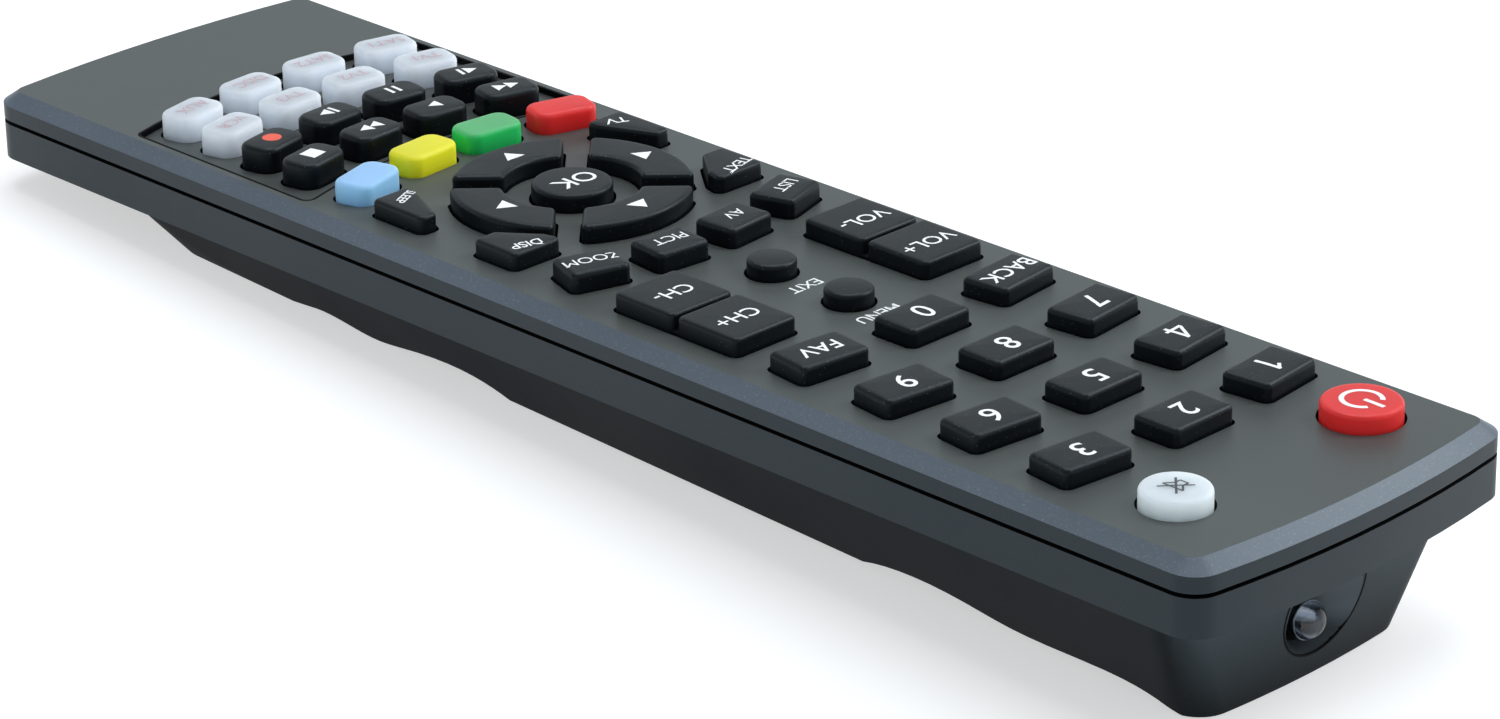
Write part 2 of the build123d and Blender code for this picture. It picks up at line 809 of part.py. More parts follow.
# Four bent leaf contacts, one at each end of each cell
with BuildPart() as battery_contacts:
    leaf_reach = bay_end_room - contact_touch_gap
    leaf_points = [
        (0, -contact_height / 2),
        (0, contact_height / 2),
        (contact_thickness, contact_height / 2),
        (leaf_reach, contact_tip_height / 2),
        (leaf_reach, -contact_tip_height / 2),
        (leaf_reach - contact_thickness, -contact_tip_height / 2),
        (leaf_reach - contact_thickness, contact_tip_height / 2 - contact_thickness),
        (contact_thickness, contact_height / 2 - 2 * contact_thickness),
        (contact_thickness, -contact_height / 2),
    ]
    for side in (-1, 1):
        for start, turn in ((bay_tail, 1), (bay_front, -1)):
            leaf_place = Vector(side * cell_column - turn * contact_width / 2, start, cell_axis_height)
            leaf_plane = Plane(
                origin=bay_plane.from_local_coords(leaf_place),
                x_dir=turn * bay_plane.y_dir,
                z_dir=(turn, 0, 0),
            )
            with BuildSketch(leaf_plane):
                Polygon(*leaf_points, align=None)
            extrude(amount=contact_width)
battery_contacts.part.label = "battery_contacts"
export_step(battery_contacts.part, "parts/battery_contacts.step")

# Three equal screws driven up from the underside
with BuildPart() as screws:
    with BuildSketch(level(screw_shelf)):
        with Locations(*screws_at):
            Circle(screw_head_radius)
    extrude(amount=-screw_head_height)
    with BuildSketch(level(screw_shelf)):
        with Locations(*screws_at):
            Circle(screw_shank_radius)
    extrude(amount=screw_shank_length)
    with BuildSketch(level(screw_shelf + screw_head_height)):
        with Locations(*screws_at):
            Rectangle(2 * screw_shank_radius, screw_slot_width)
            Rectangle(screw_slot_width, 2 * screw_shank_radius)
    extrude(amount=screw_slot_depth, mode=Mode.SUBTRACT)
screws.part.label = "screws"
export_step(screws.part, "parts/screws.step")

# The sliding keys: cap, flange under the face plate, foot over the board
for name, shape, arguments, height in keys:
    with BuildPart() as key:
        with BuildSketch(level(-height)):
            shape(*arguments)
        extrude(amount=-height - flange_bottom)
        cap_top = key.faces().sort_by(Axis(face.origin, face.z_dir))[-1]
        fillet(cap_top.edges(), radius=cap_edge_radius)
        with BuildSketch(level(flange_top)):
            shape(*arguments)
            offset(amount=hole_gap + flange_overlap)
        extrude(amount=-flange_thickness)
        with BuildSketch(level(flange_bottom)):
            shape(*arguments)
            offset(amount=-foot_inset)
        extrude(amount=-foot_length)
    key.part.label = name
    export_step(key.part, f"parts/{name}.step")

# The two rocking keys: a grooved cap on short side tabs, with a foot under each half
for name, side in rockers:
    with BuildPart() as rocker:
        with BuildSketch(level(-plain_cap_height)):
            box_key(side * rocker_column, rocker_row, *rocker_size)
        extrude(amount=-plain_cap_height - flange_bottom)
        cap_top = rocker.faces().sort_by(Axis(face.origin, face.z_dir))[-1]
        fillet(cap_top.edges(), radius=cap_edge_radius)
        with BuildSketch(level(-plain_cap_height)):
            with Locations((side * rocker_column, rocker_row)):
                Rectangle(2 * rocker_width, rocker_groove_width)
        extrude(amount=-rocker_groove_depth, mode=Mode.SUBTRACT)
        with BuildSketch(level(flange_top)):
            with Locations((side * rocker_column, rocker_row)):
                Rectangle(rocker_width + 2 * (hole_gap + flange_overlap), rocker_tab_length)
        extrude(amount=-flange_thickness)
        with BuildSketch(level(flange_bottom)):
            for end in (-1, 1):
                with Locations((side * rocker_column, rocker_row + end * foot_grid)):
                    Rectangle(rocker_foot_width, rocker_foot_length)
        extrude(amount=-foot_length)
    rocker.part.label = name
    export_step(rocker.part, f"parts/{name}.step")
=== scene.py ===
import json
import math

import bmesh
import bpy
from mathutils import Matrix, Vector
from mathutils.bvhtree import BVHTree


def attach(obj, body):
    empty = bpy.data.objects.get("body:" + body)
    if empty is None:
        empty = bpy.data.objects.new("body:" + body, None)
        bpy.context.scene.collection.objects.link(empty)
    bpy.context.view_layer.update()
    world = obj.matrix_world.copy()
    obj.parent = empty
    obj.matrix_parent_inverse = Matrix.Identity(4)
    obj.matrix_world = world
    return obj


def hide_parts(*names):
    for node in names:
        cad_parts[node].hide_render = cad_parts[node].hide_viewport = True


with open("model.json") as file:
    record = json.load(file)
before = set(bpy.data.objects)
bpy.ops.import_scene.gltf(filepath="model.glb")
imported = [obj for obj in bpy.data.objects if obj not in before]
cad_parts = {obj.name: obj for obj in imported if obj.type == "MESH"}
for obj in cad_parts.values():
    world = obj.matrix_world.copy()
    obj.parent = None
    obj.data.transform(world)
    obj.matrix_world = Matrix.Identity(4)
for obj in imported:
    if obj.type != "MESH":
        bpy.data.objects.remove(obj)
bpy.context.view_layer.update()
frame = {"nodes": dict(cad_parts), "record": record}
nodes = frame["nodes"]
bodies = frame["record"]["behaviour"]["bodies"]
body_of = {node: body for body, members in bodies.items() for node in members}
MM = 0.001


# Camera: a long lens, low over the right front corner of the remote, as in the photograph.
# The lens and the place were worked out from the casing's straight edges.
def in_scene(name, data):
    """A new object of the scene, at the origin."""
    thing = bpy.data.objects.new(name, data)
    bpy.context.scene.collection.objects.link(thing)
    return thing


camera = in_scene("camera", bpy.data.cameras.new("camera"))
camera.data.sensor_width = 36.0
camera.data.lens = 124.13
camera.data.clip_start = 0.05
camera.data.clip_end = 20.0
camera.location = Vector((414.24, 422.37, 291.30)) * MM
camera.rotation_euler = [math.radians(turn) for turn in (64.0317, -1.3015, 135.4459)]
bpy.context.scene.camera = camera


# Floor and light: a pale floor that reads as plain white behind the object but keeps its
# shadow, one wide soft lamp overhead, one over the far left, and a sky pale at the horizon.
floor_size = 6.0
floor_colour = (0.5, 0.505, 0.51, 1.0)
floor_glow_strength = 0.55
lamp_colour = (0.96, 0.985, 1.0)
sky_colour = (0.87, 0.95, 1.0, 1.0)


def set_inputs(node, inputs):
    """Gives each input of a node its value, the output that feeds it, or a list of outputs."""
    for name, value in inputs.items():
        for source in value if isinstance(value, list) else [value]:
            if isinstance(source, bpy.types.NodeSocket):
                node.id_data.links.new(source, node.inputs[name])
            else:
                node.inputs[name].default_value = source


def add_node(tree, kind, inputs=None, output=None, operation=None):
    """A new node in a tree, or that one of its outputs which is named."""
    node = tree.nodes.new(kind)
    if operation:
        node.operation = operation
    set_inputs(node, inputs or {})
    return node if output is None else node.outputs[output]


def ranged(value, low=0.0, high=1.0, least=0.0, most=1.0):
    """An output's value from low to high, spread out from least to most."""
    inputs = {"Value": value, "From Min": low, "From Max": high, "To Min": least, "To Max": most}
    return add_node(value.id_data, "ShaderNodeMapRange", inputs, "Result")


def new_material(name, shader):
    """A material and its shader, with that shader's plain inputs."""
    material = bpy.data.materials.new(name)
    material.use_nodes = True
    base = material.node_tree.nodes["Principled BSDF"]
    set_inputs(base, shader)
    return material, base


floor_mesh = bpy.data.meshes.new("floor")
floor_form = bmesh.new()
bmesh.ops.create_grid(floor_form, x_segments=1, y_segments=1, size=floor_size / 2)
floor_form.to_mesh(floor_mesh)
floor_form.free()
floor = in_scene("floor", floor_mesh)
floor_paint, floor_base = new_material("floor_paint", {"Base Color": floor_colour, "Roughness": 0.9})
floor_tree = floor_paint.node_tree
floor_plain = floor_base.outputs["BSDF"]
floor_ray = add_node(floor_tree, "ShaderNodeLightPath").outputs
floor_seen = floor_ray["Is Camera Ray"]
for ray in ("Is Glossy Ray", "Is Transmission Ray"):
    either = {0: floor_seen, 1: floor_ray[ray]}
    floor_seen = add_node(floor_tree, "ShaderNodeMath", either, "Value", "MAXIMUM")
floor_glow = {"Color": (1.0, 1.0, 1.0, 1.0), "Strength": floor_glow_strength}
floor_glow = add_node(floor_tree, "ShaderNodeEmission", floor_glow, "Emission")
floor_lit = add_node(floor_tree, "ShaderNodeAddShader", {0: floor_plain, 1: floor_glow}, "Shader")
floor_mix = {"Fac": floor_seen, 1: floor_plain, 2: floor_lit}
floor_mix = add_node(floor_tree, "ShaderNodeMixShader", floor_mix, "Shader")
set_inputs(floor_tree.nodes["Material Output"], {"Surface": floor_mix})
floor_mesh.materials.append(floor_paint)


def soft_lamp(name, place, aim, size, power):
    """A round soft lamp, turned towards its aim."""
    lamp = in_scene(name, bpy.data.lights.new(name, "AREA"))
    lamp.data.shape = "DISK"
    lamp.data.size = size
    lamp.data.energy = power
    lamp.data.color = lamp_colour
    lamp.location = place
    lamp.rotation_euler = (Vector(aim) - Vector(place)).to_track_quat("-Z", "Y").to_euler()


soft_lamp("lamp_top", (-0.35, -0.35, 1.5), (0, 0, 0), size=1.5, power=20.0)
soft_lamp("lamp_left", (-1.15, 0.5, 1.1), (0, 0.05, 0), size=0.8, power=14.0)

world = bpy.data.worlds.new("studio")
world.use_nodes = True
sky = world.node_tree
sky_way = add_node(sky, "ShaderNodeTexCoord", output="Generated")
sky_height = add_node(sky, "ShaderNodeSeparateXYZ", {"Vector": sky_way}, "Z")
sky_strength = ranged(sky_height, 0.25, 0.5, 1.0, 0.38)
set_inputs(sky.nodes["Background"], {"Color": sky_colour, "Strength": sky_strength})
bpy.context.scene.world = world
bpy.context.scene.view_settings.view_transform = "Standard"


# Casing, upper half: injection-moulded shell of dark cool grey, satin with a fine spark
# texture, its edge bevelled all round. The face leans up a few degrees to the infrared end.
face_lean = math.radians(3.19)
rim_depth = 9.1
bevel_width = 2.1
bevel_depth = 1.45
middle_height = 19.48
body_length = 220.0
body_width = 55.3
face_plate_depth = 1.8
seam_depth = 3.8
seam_gap = 0.55
tongue_rise = 1.6
level_slack = 0.05
face_shift = -(rim_depth + bevel_depth) / 2 * math.sin(face_lean)
face_middle = Vector((0.0, face_shift, middle_height * math.cos(face_lean))) * MM
face_to_row = Matrix.Translation(face_middle) @ Matrix.Rotation(face_lean, 4, "X")
row_to_face = face_to_row.inverted()
face_mm_to_row = face_to_row @ Matrix.Scale(MM, 4)


def object_place(base):
    """The place on the object, for the textures that feed a shader."""
    return add_node(base.id_data, "ShaderNodeTexCoord", output="Object")


def noise(place, scale, detail=2.0, roughness=0.5):
    """Even noise over a place."""
    inputs = {"Vector": place, "Scale": scale, "Detail": detail, "Roughness": roughness}
    return add_node(place.id_data, "ShaderNodeTexNoise", inputs, "Fac")


def relief(height, strength):
    """A shallow relief from an output's value."""
    inputs = {"Height": height, "Strength": strength, "Distance": 0.00005}
    return add_node(height.id_data, "ShaderNodeBump", inputs, "Normal")


def shade(colour, share):
    """A colour made darker or paler by a share."""
    return tuple(min(part * share, 1.0) for part in colour)


def mixed(share, one, other):
    """A colour between two, each a colour or an output, by an output's share."""
    mix = share.id_data.nodes.new("ShaderNodeMix")
    mix.data_type = "RGBA"
    sides = {"A": one, "B": other}
    inputs = {name: (*side, 1.0) if isinstance(side, tuple) else side for name, side in sides.items()}
    set_inputs(mix, {"Factor": share, **inputs})
    return mix.outputs["Result"]


def moulded_plastic(name, colour, roughness, bump, painted_glints=0.0, shine=0.5):
    """Satin plastic: the grain of an electro-eroded mould, slow drift of tone and gloss, and painted
    glints, pale specks on the grain's high spots.
    """
    shader = {"Specular IOR Level": shine, "Specular Tint": (0.8, 0.93, 1.0, 1.0)}
    material, base = new_material(name, shader)
    place = object_place(base)
    fine = noise(place, 3600.0, 4.0, 0.65)
    slow = noise(place, 30.0, 4.0)
    tint = mixed(ranged(slow, 0.3, 0.75), shade(colour, 0.9), shade(colour, 1.12))
    # Painted glints: the colour turns pale blue-grey where the fine grain peaks, as much as the given
    # glint share.
    set_inputs(base, {
        "Base Color": mixed(ranged(fine, 0.58, 0.8, 0.0, painted_glints), tint, (0.5, 0.56, 0.64)),
        "Roughness": ranged(slow, 0.3, 0.7, roughness - 0.05, roughness + 0.07),
        "Normal": relief(fine, bump),
    })
    return material


def shadow_black(name):
    """Painted shade: flat black for the inside of gaps, grooves and holes, where no light comes back.
    """
    material, base = new_material(name, {"Roughness": 0.8, "Specular IOR Level": 0.1})
    dust = noise(object_place(base), 900.0)
    set_inputs(base, {"Base Color": mixed(dust, (0.001, 0.001, 0.001), (0.006, 0.006, 0.007))})
    return material


face_plastic = moulded_plastic(
    "face_plastic", (0.044, 0.049, 0.046), roughness=0.42, bump=0.3, painted_glints=0.03
)
# The bevel takes a paler, bluer copy of the face plastic with far more glints: painted reflection of
# the light on the chamfer.
bevel_plastic_painted_reflection = moulded_plastic(
    "bevel_plastic_painted_reflection", (0.075, 0.092, 0.118), roughness=0.42, bump=0.5, painted_glints=0.35, shine=0.42
)
# The walls take a darker copy of the same plastic: painted shade on the sides of the casing.
wall_plastic_painted_shade = moulded_plastic(
    "wall_plastic_painted_shade", (0.014, 0.02, 0.025), roughness=0.45, bump=0.3, painted_glints=0.03, shine=0.36
)
painted_shade_black = shadow_black("painted_shade_black")


def joined_copy(node, materials, sharp_deg=28.0):
    """The node's own shape with its faces joined and shaded smooth up to the sharp edges."""
    source = nodes[node].data
    mesh = bpy.data.meshes.new(node + "_skin")
    corners = [vertex.co[:] for vertex in source.vertices]
    mesh.from_pydata(corners, [], [face.vertices[:] for face in source.polygons])
    form = bmesh.new()
    form.from_mesh(mesh)
    bmesh.ops.remove_doubles(form, verts=form.verts, dist=0.002 * MM)
    form.to_mesh(mesh)
    form.free()
    for material in materials:
        mesh.materials.append(material)
    mesh.shade_smooth()
    mesh.set_sharp_from_angle(angle=math.radians(sharp_deg))
    piece = in_scene(node + "_skin", mesh)
    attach(piece, body_of[node])
    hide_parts(node)
    return piece


def face_facts(mesh, face):
    """Least and greatest depth of a mesh face under the keypad's face, and its upward share."""
    depths = [-(row_to_face @ mesh.vertices[i].co).z / MM for i in face.vertices]
    return min(depths), max(depths), (row_to_face.to_3x3() @ face.normal).z


def in_seam(low, high):
    """Whether a mesh face lies in the groove between the two halves."""
    groove_end = seam_depth + seam_gap / 2 + level_slack
    return low > seam_depth - tongue_rise and high < groove_end


top_skin = joined_copy("top_shell", (face_plastic, bevel_plastic_painted_reflection, wall_plastic_painted_shade, painted_shade_black))
# Faces on top keep the face plastic, the bevel takes its paler copy as painted reflection, the walls
# their darker copy as painted shade, and the parting groove with the walls of the key holes and of the
# recess takes flat black as painted shade.
for face in top_skin.data.polygons:
    low, high, upward = face_facts(top_skin.data, face)
    middle = row_to_face @ face.center / MM
    on_edge = max(abs(middle.x) - body_width / 2, abs(middle.y) - body_length / 2) > -1.5 * bevel_width
    if high < bevel_depth + level_slack and upward > 0.9:
        face.material_index = 0
    elif high < bevel_depth + level_slack and upward > 0.5:
        face.material_index = 1
    elif in_seam(low, high) or (not on_edge and high < face_plate_depth + level_slack):
        face.material_index = 3
    else:
        face.material_index = 2


# Shadow line round the recessed panel: the panel is a plate let into the face, and a thin black
# strip laid along the edge of the recess in the upper half paints the hairline of shadow there.
panel_depth = 0.8
shadow_line_width = 0.4
shadow_line_lift = 0.012
shadow_line_sink = 0.1


def add_band(form, points, sides, up, width, lift, sink, closed):
    """A flat bar laid along points, each with its own direction across, as a closed skin."""
    rings = []
    for point, side in zip(points, sides):
        corners = [point - up * sink, point + up * lift]
        corners += [point + side * width + up * lift, point + side * width - up * sink]
        rings.append([form.verts.new(corner) for corner in corners])
    following = rings[1:] + rings[:1] if closed else rings[1:]
    for one, other in zip(rings, following):
        for i in range(4):
            form.faces.new((one[i], one[(i + 1) % 4], other[(i + 1) % 4], other[i]))
    if not closed:
        form.faces.new(rings[0])
        form.faces.new(list(reversed(rings[-1])))
    bmesh.ops.recalc_face_normals(form, faces=form.faces)


def made_piece(name, form, materials, to_row, sharp_deg=None):
    """Turns a form in millimetres into a piece of the scene, with its finishes."""
    form.normal_update()
    mesh = bpy.data.meshes.new(name)
    form.to_mesh(mesh)
    form.free()
    mesh.transform(to_row)
    for material in materials:
        mesh.materials.append(material)
    if sharp_deg:
        mesh.set_sharp_from_angle(angle=math.radians(sharp_deg))
    return in_scene(name, mesh)


recess = bmesh.new()
recess.from_mesh(top_skin.data)
recess.transform(Matrix.Scale(1 / MM, 4) @ row_to_face)
outward_at = {}
neighbours = {}
for edge in recess.edges:
    if len(edge.link_faces) != 2 or max(abs(vert.co.z) for vert in edge.verts) > level_slack:
        continue
    upright = [face for face in edge.link_faces if abs(face.normal.z) < 0.1]
    if len(upright) != 1:
        continue
    foot = min(vert.co.z for vert in upright[0].verts)
    if abs(foot + panel_depth) > level_slack:
        continue
    for vert, other in (edge.verts, reversed(edge.verts)):
        outward_at.setdefault(vert.index, Vector()).xy -= upright[0].normal.xy
        neighbours.setdefault(vert.index, []).append(other.index)
recess.verts.ensure_lookup_table()
first = min(neighbours)
outline = [first, neighbours[first][0]]
while True:
    onward = [index for index in neighbours[outline[-1]] if index != outline[-2]]
    if onward[0] == first:
        break
    outline.append(onward[0])
shadow_line = bmesh.new()
add_band(
    shadow_line,
    [recess.verts[index].co.copy() for index in outline],
    [outward_at[index].normalized() for index in outline],
    Vector((0, 0, 1)), shadow_line_width, shadow_line_lift, shadow_line_sink, closed=True,
)
recess.free()
panel_shadow_line = made_piece("panel_shadow_line", shadow_line, (painted_shade_black,), face_mm_to_row)
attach(panel_shadow_line, "casing")


# Casing, lower half: the rim tray with its tongue behind the parting groove, and the drafted keel
# below it, in a darker and duller copy of the casing plastic for painted shade, with painted light
# on its forward face, which pales towards the rim. The dish for the diode is cut into that face.
keel_front = 105.2
keel_front_draft = 0.217
front_bow_radius = 166.0
window_radius = 6.85
window_depth = 15.0
window_reach = 7.3
window_rim_gap = 0.1
window_edge_width = 0.26
window_edge_lift = 0.02
window_edge_sink = 0.2
window_steps = 72
front_skin = 0.15
throat_along = 99.75
dish_back = 93.0
keel_plastic_painted_light_and_shade = moulded_plastic(
    "keel_plastic_painted_light_and_shade", (0.003, 0.005, 0.0075), roughness=0.5, bump=0.3, painted_glints=0.02, shine=0.1
)
keel_tree = keel_plastic_painted_light_and_shade.node_tree
keel_base = keel_tree.nodes["Principled BSDF"]
keel_tone = keel_base.inputs["Base Color"].links[0].from_socket
keel_coords = add_node(keel_tree, "ShaderNodeTexCoord").outputs
keel_painted_light_shares = []
# Painted light: the keel's colour turns towards a pale blue-grey on faces that turn forward, most near
# the rim and fading towards the bottom.
keel_painted_light_axes = [("Normal", "Y", 0.35, 0.97, 0.0), ("Object", "Z", 0.001, 0.013, 0.12)]
for output, axis, low, high, least in keel_painted_light_axes:
    part = add_node(keel_tree, "ShaderNodeSeparateXYZ", {"Vector": keel_coords[output]}, axis)
    keel_painted_light_shares.append(ranged(part, low, high, least))
keel_painted_light_share = add_node(keel_tree, "ShaderNodeMath", dict(enumerate(keel_painted_light_shares)), "Value", "MULTIPLY")
set_inputs(keel_base, {"Base Color": mixed(keel_painted_light_share, keel_tone, (0.06, 0.076, 0.086))})
# The dish takes a paler copy of the casing plastic: painted light on its lit flank.
dish_plastic_painted_light = moulded_plastic("dish_plastic_painted_light", (0.075, 0.085, 0.095), roughness=0.24, bump=0.1)


def front_along(x, depth):
    """Place of the keel's drafted, bowed front at a column and a depth under the face."""
    return keel_front - keel_front_draft * (depth - rim_depth) - x**2 / (2 * front_bow_radius)


bottom_skin = joined_copy("bottom_shell", (wall_plastic_painted_shade, keel_plastic_painted_light_and_shade, painted_shade_black, dish_plastic_painted_light))
# The rim keeps the walls' darker copy as painted shade; the parting groove and the throat behind the
# diode take flat black as painted shade; the front of the dish takes its paler copy as painted light;
# the rest of the keel takes its copy with painted light and shade.
for face in bottom_skin.data.polygons:
    low, high, upward = face_facts(bottom_skin.data, face)
    middle = row_to_face @ face.center / MM
    if in_seam(low, high):
        face.material_index = 2
    elif high > rim_depth + level_slack or upward < -0.9:
        in_window = math.hypot(middle.x, middle.z + window_depth) < window_reach
        behind_front = dish_back < middle.y < front_along(middle.x, -middle.z) - front_skin
        if in_window and behind_front:
            face.material_index = 3 if middle.y > throat_along else 2
        else:
            face.material_index = 1

# A thin band of the flat black lies along the edge of the window on the keel's front, painting a dark
# line round its rim.
window_line = []
window_sides = []
for step in range(window_steps + 1):
    turn = math.radians(90 + 360 * step / window_steps)
    way = Vector((math.cos(turn), math.sin(turn)))
    spot = way * window_radius
    depth = window_depth - spot.y
    if depth < rim_depth + window_rim_gap:
        continue
    window_line.append(Vector((spot.x, front_along(spot.x, depth), -depth)))
    window_sides.append(Vector((way.x, keel_front_draft * way.y, way.y)).normalized())
rim_form = bmesh.new()
front_way = Vector((0, 1, -keel_front_draft)).normalized()
add_band(
    rim_form, window_line, window_sides, front_way,
    window_edge_width, window_edge_lift, window_edge_sink, closed=False,
)
window_edge = made_piece("window_edge", rim_form, (painted_shade_black,), face_mm_to_row)
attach(window_edge, "casing")


# Battery cover: a plate of the keel's plastic, flush with the underside, with two hooks at its
# tail end and four grooves for a thumb at the other.
cover_skin = joined_copy("battery_cover", (keel_plastic_painted_light_and_shade,))


# Screws: three equal zinc-plated screws with a cross slot, driven up into the posts of the
# upper half from the bottom of deep holes in the underside.
screw_shelf = 7.7
screw_places = [(-17.0, -99.0), (17.0, -99.0), (0.0, 88.9)]
screw_sizes = {
    "Head Radius": 2.1, "Head Height": 1.2, "Shank Radius": 1.0, "Shank Length": 5.0,
    "Slot Width": 0.6, "Slot Depth": 0.5, "Thread Pitch": 0.55, "Thread Size": 0.13,
}


def bright_metal(name, colour, roughness):
    """Plated metal: fine drawn lines in its gloss and a slow change of tone."""
    material, base = new_material(name, {"Metallic": 1.0})
    place = object_place(base)
    stretch = {"Vector": place, "Scale": (1.0, 0.06, 1.0)}
    lines = noise(add_node(base.id_data, "ShaderNodeMapping", stretch, "Vector"), 6000.0, 3.0)
    set_inputs(base, {
        "Base Color": mixed(noise(place, 350.0), shade(colour, 0.8), colour),
        "Roughness": ranged(lines, least=roughness - 0.1, most=roughness + 0.12),
    })
    return material


zinc = bright_metal("zinc", (0.62, 0.62, 0.6), roughness=0.32)
screw_tree = bpy.data.node_groups.new("cross_head_screws", "GeometryNodeTree")
screw_sockets = [("Geometry", "INPUT", "Geometry")]
screw_sockets += [(size_name, "INPUT", "Float") for size_name in screw_sizes]
screw_sockets += [("Plating", "INPUT", "Material"), ("Geometry", "OUTPUT", "Geometry")]
for name, in_out, kind in screw_sockets:
    screw_tree.interface.new_socket(name, in_out=in_out, socket_type="NodeSocket" + kind)
given = add_node(screw_tree, "NodeGroupInput").outputs


def screw_node(kind, inputs, output, operation=None):
    """The output of a new node in the screws' tree."""
    return add_node(screw_tree, kind, inputs, output, operation)


def times(one, other):
    """A product worked out in the screws' tree."""
    return screw_node("ShaderNodeMath", {0: one, 1: other}, "Value", "MULTIPLY")


def raised(shape, height):
    """A shape of the screws' tree at its height over the head's seat."""
    lift = screw_node("ShaderNodeCombineXYZ", {"Z": height}, "Vector")
    return screw_node("GeometryNodeTransform", {"Geometry": shape, "Translation": lift}, "Geometry")


half_head = times(given["Head Height"], 0.5)
head_radius = given["Head Radius"]
head_plate = {"Vertices": 40, "Radius": head_radius, "Depth": half_head}
head_plate = screw_node("GeometryNodeMeshCylinder", head_plate, "Mesh")
head_crown = {"Radius Top": head_radius, "Radius Bottom": times(head_radius, 0.72)}
head_crown |= {"Vertices": 40, "Depth": half_head}
head_crown = screw_node("GeometryNodeMeshCone", head_crown, "Mesh")
head_parts = [raised(head_plate, times(half_head, -0.5)), raised(head_crown, times(half_head, -2.0))]
head_whole = screw_node("GeometryNodeMeshBoolean", {"Mesh 2": head_parts}, "Mesh", "UNION")
slot_reach = times(head_radius, 1.1)
slot_height = times(given["Slot Depth"], 2.0)
slot_bars = []
for along, across in ((slot_reach, given["Slot Width"]), (given["Slot Width"], slot_reach)):
    bar_size = screw_node("ShaderNodeCombineXYZ", {0: along, 1: across, 2: slot_height}, "Vector")
    slot_bar = screw_node("GeometryNodeMeshCube", {"Size": bar_size}, "Mesh")
    slot_bars.append(raised(slot_bar, times(given["Head Height"], -1.0)))
slot_cut = {"Mesh 1": head_whole, "Mesh 2": slot_bars}
head_slotted = screw_node("GeometryNodeMeshBoolean", slot_cut, "Mesh", "DIFFERENCE")
shank_radius = given["Shank Radius"]
shank_length = given["Shank Length"]
shank = {"Vertices": 24, "Radius": shank_radius, "Depth": shank_length}
shank = screw_node("GeometryNodeMeshCylinder", shank, "Mesh")
thread_run = times(shank_length, 0.8)
thread_turns = {0: thread_run, 1: given["Thread Pitch"]}
thread_turns = screw_node("ShaderNodeMath", thread_turns, "Value", "DIVIDE")
thread_line = {"Resolution": 20, "Rotations": thread_turns, "Height": thread_run}
thread_line |= {"Start Radius": shank_radius, "End Radius": shank_radius}
thread_line = screw_node("GeometryNodeCurveSpiral", thread_line, "Curve")
thread_edge = {"Resolution": 4, "Radius": given["Thread Size"]}
thread_edge = screw_node("GeometryNodeCurvePrimitiveCircle", thread_edge, "Curve")
thread_parts = {"Curve": thread_line, "Profile Curve": thread_edge, "Fill Caps": True}
thread = screw_node("GeometryNodeCurveToMesh", thread_parts, "Mesh")
screw_parts = [head_slotted]
for part, share in ((shank, 0.5), (thread, 0.15)):
    screw_parts.append(raised(part, times(shank_length, share)))
one_screw = screw_node("GeometryNodeJoinGeometry", {0: screw_parts}, 0)
screw_set = {"Points": given["Geometry"], "Instance": one_screw}
screw_set = screw_node("GeometryNodeInstanceOnPoints", screw_set, "Instances")
screw_real = screw_node("GeometryNodeRealizeInstances", {"Geometry": screw_set}, "Geometry")
screw_coat = {"Geometry": screw_real, "Material": given["Plating"]}
screw_coat = screw_node("GeometryNodeSetMaterial", screw_coat, "Geometry")
add_node(screw_tree, "NodeGroupOutput", {"Geometry": screw_coat})

screw_points = bpy.data.meshes.new("screw_points")
screw_points.from_pydata([(x * MM, y * MM, -screw_shelf * MM) for x, y in screw_places], [], [])
screw_maker = in_scene("screw_maker", screw_points)
screw_steps = screw_maker.modifiers.new("screws", "NODES")
screw_steps.node_group = screw_tree
for socket in screw_tree.interface.items_tree:
    if socket.name in screw_sizes:
        screw_steps[socket.identifier] = screw_sizes[socket.name] * MM
    elif socket.name == "Plating":
        screw_steps[socket.identifier] = zinc
made_screws = screw_maker.evaluated_get(bpy.context.evaluated_depsgraph_get())
screw_mesh = bpy.data.meshes.new_from_object(made_screws)
screw_maker.modifiers.remove(screw_steps)
bpy.data.objects.remove(screw_maker)
screw_mesh.transform(face_to_row)
screw_mesh.shade_smooth()
screw_mesh.set_sharp_from_angle(angle=math.radians(35.0))
screw_piece = in_scene("cross_head_screws", screw_mesh)
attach(screw_piece, "casing")
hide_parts("screws")


# Circuit board: glass-fibre laminate under green solder mask, its copper tracks showing as
# slightly paler lines. It rests on the ledge of the lower half under the silicone mat.
board_mask, board_base = new_material("board_mask", {})
board_place = object_place(board_base)
board_tracks = {
    "Vector": board_place, "Scale": 420.0, "Mortar Size": 0.06, "Mortar": (0.03, 0.17, 0.06, 1.0),
    "Color1": (0.006, 0.075, 0.03, 1.0), "Color2": (0.008, 0.09, 0.034, 1.0),
}
set_inputs(board_base, {
    "Base Color": add_node(board_base.id_data, "ShaderNodeTexBrick", board_tracks, "Color"),
    "Roughness": ranged(noise(board_place, 900.0), least=0.25, most=0.45),
})
nodes["circuit_board"].material_slots[0].material = board_mask


# Infrared diode: a clear resin body with a round nose and a flange, moulded round a bright
# two-post frame; its two legs bend up to the board. It looks out of the dish in the keel.
diode_back = 94.8
diode_length = 8.6
diode_radius = 2.5
diode_depth = 18.2
diode_flange = 2.9
leg_half = 0.25
leg_column = 1.27
leg_back = 92.35
board_underside = 5.2
nose_steps = 12
reflector_cup = [(0, 4.3), (1.1, 4.3), (1.75, 5.95), (1.6, 6.05), (1.35, 5.6), (0.7, 4.8), (0, 4.8)]
leg_tops = [(-1, 4.6), (1, 4.0)]
post_half = 0.3
post_tips = [((0.5, 1.5), (3.2, 4.2)), ((-1.6, -1.1), (4.3, 5.2))]


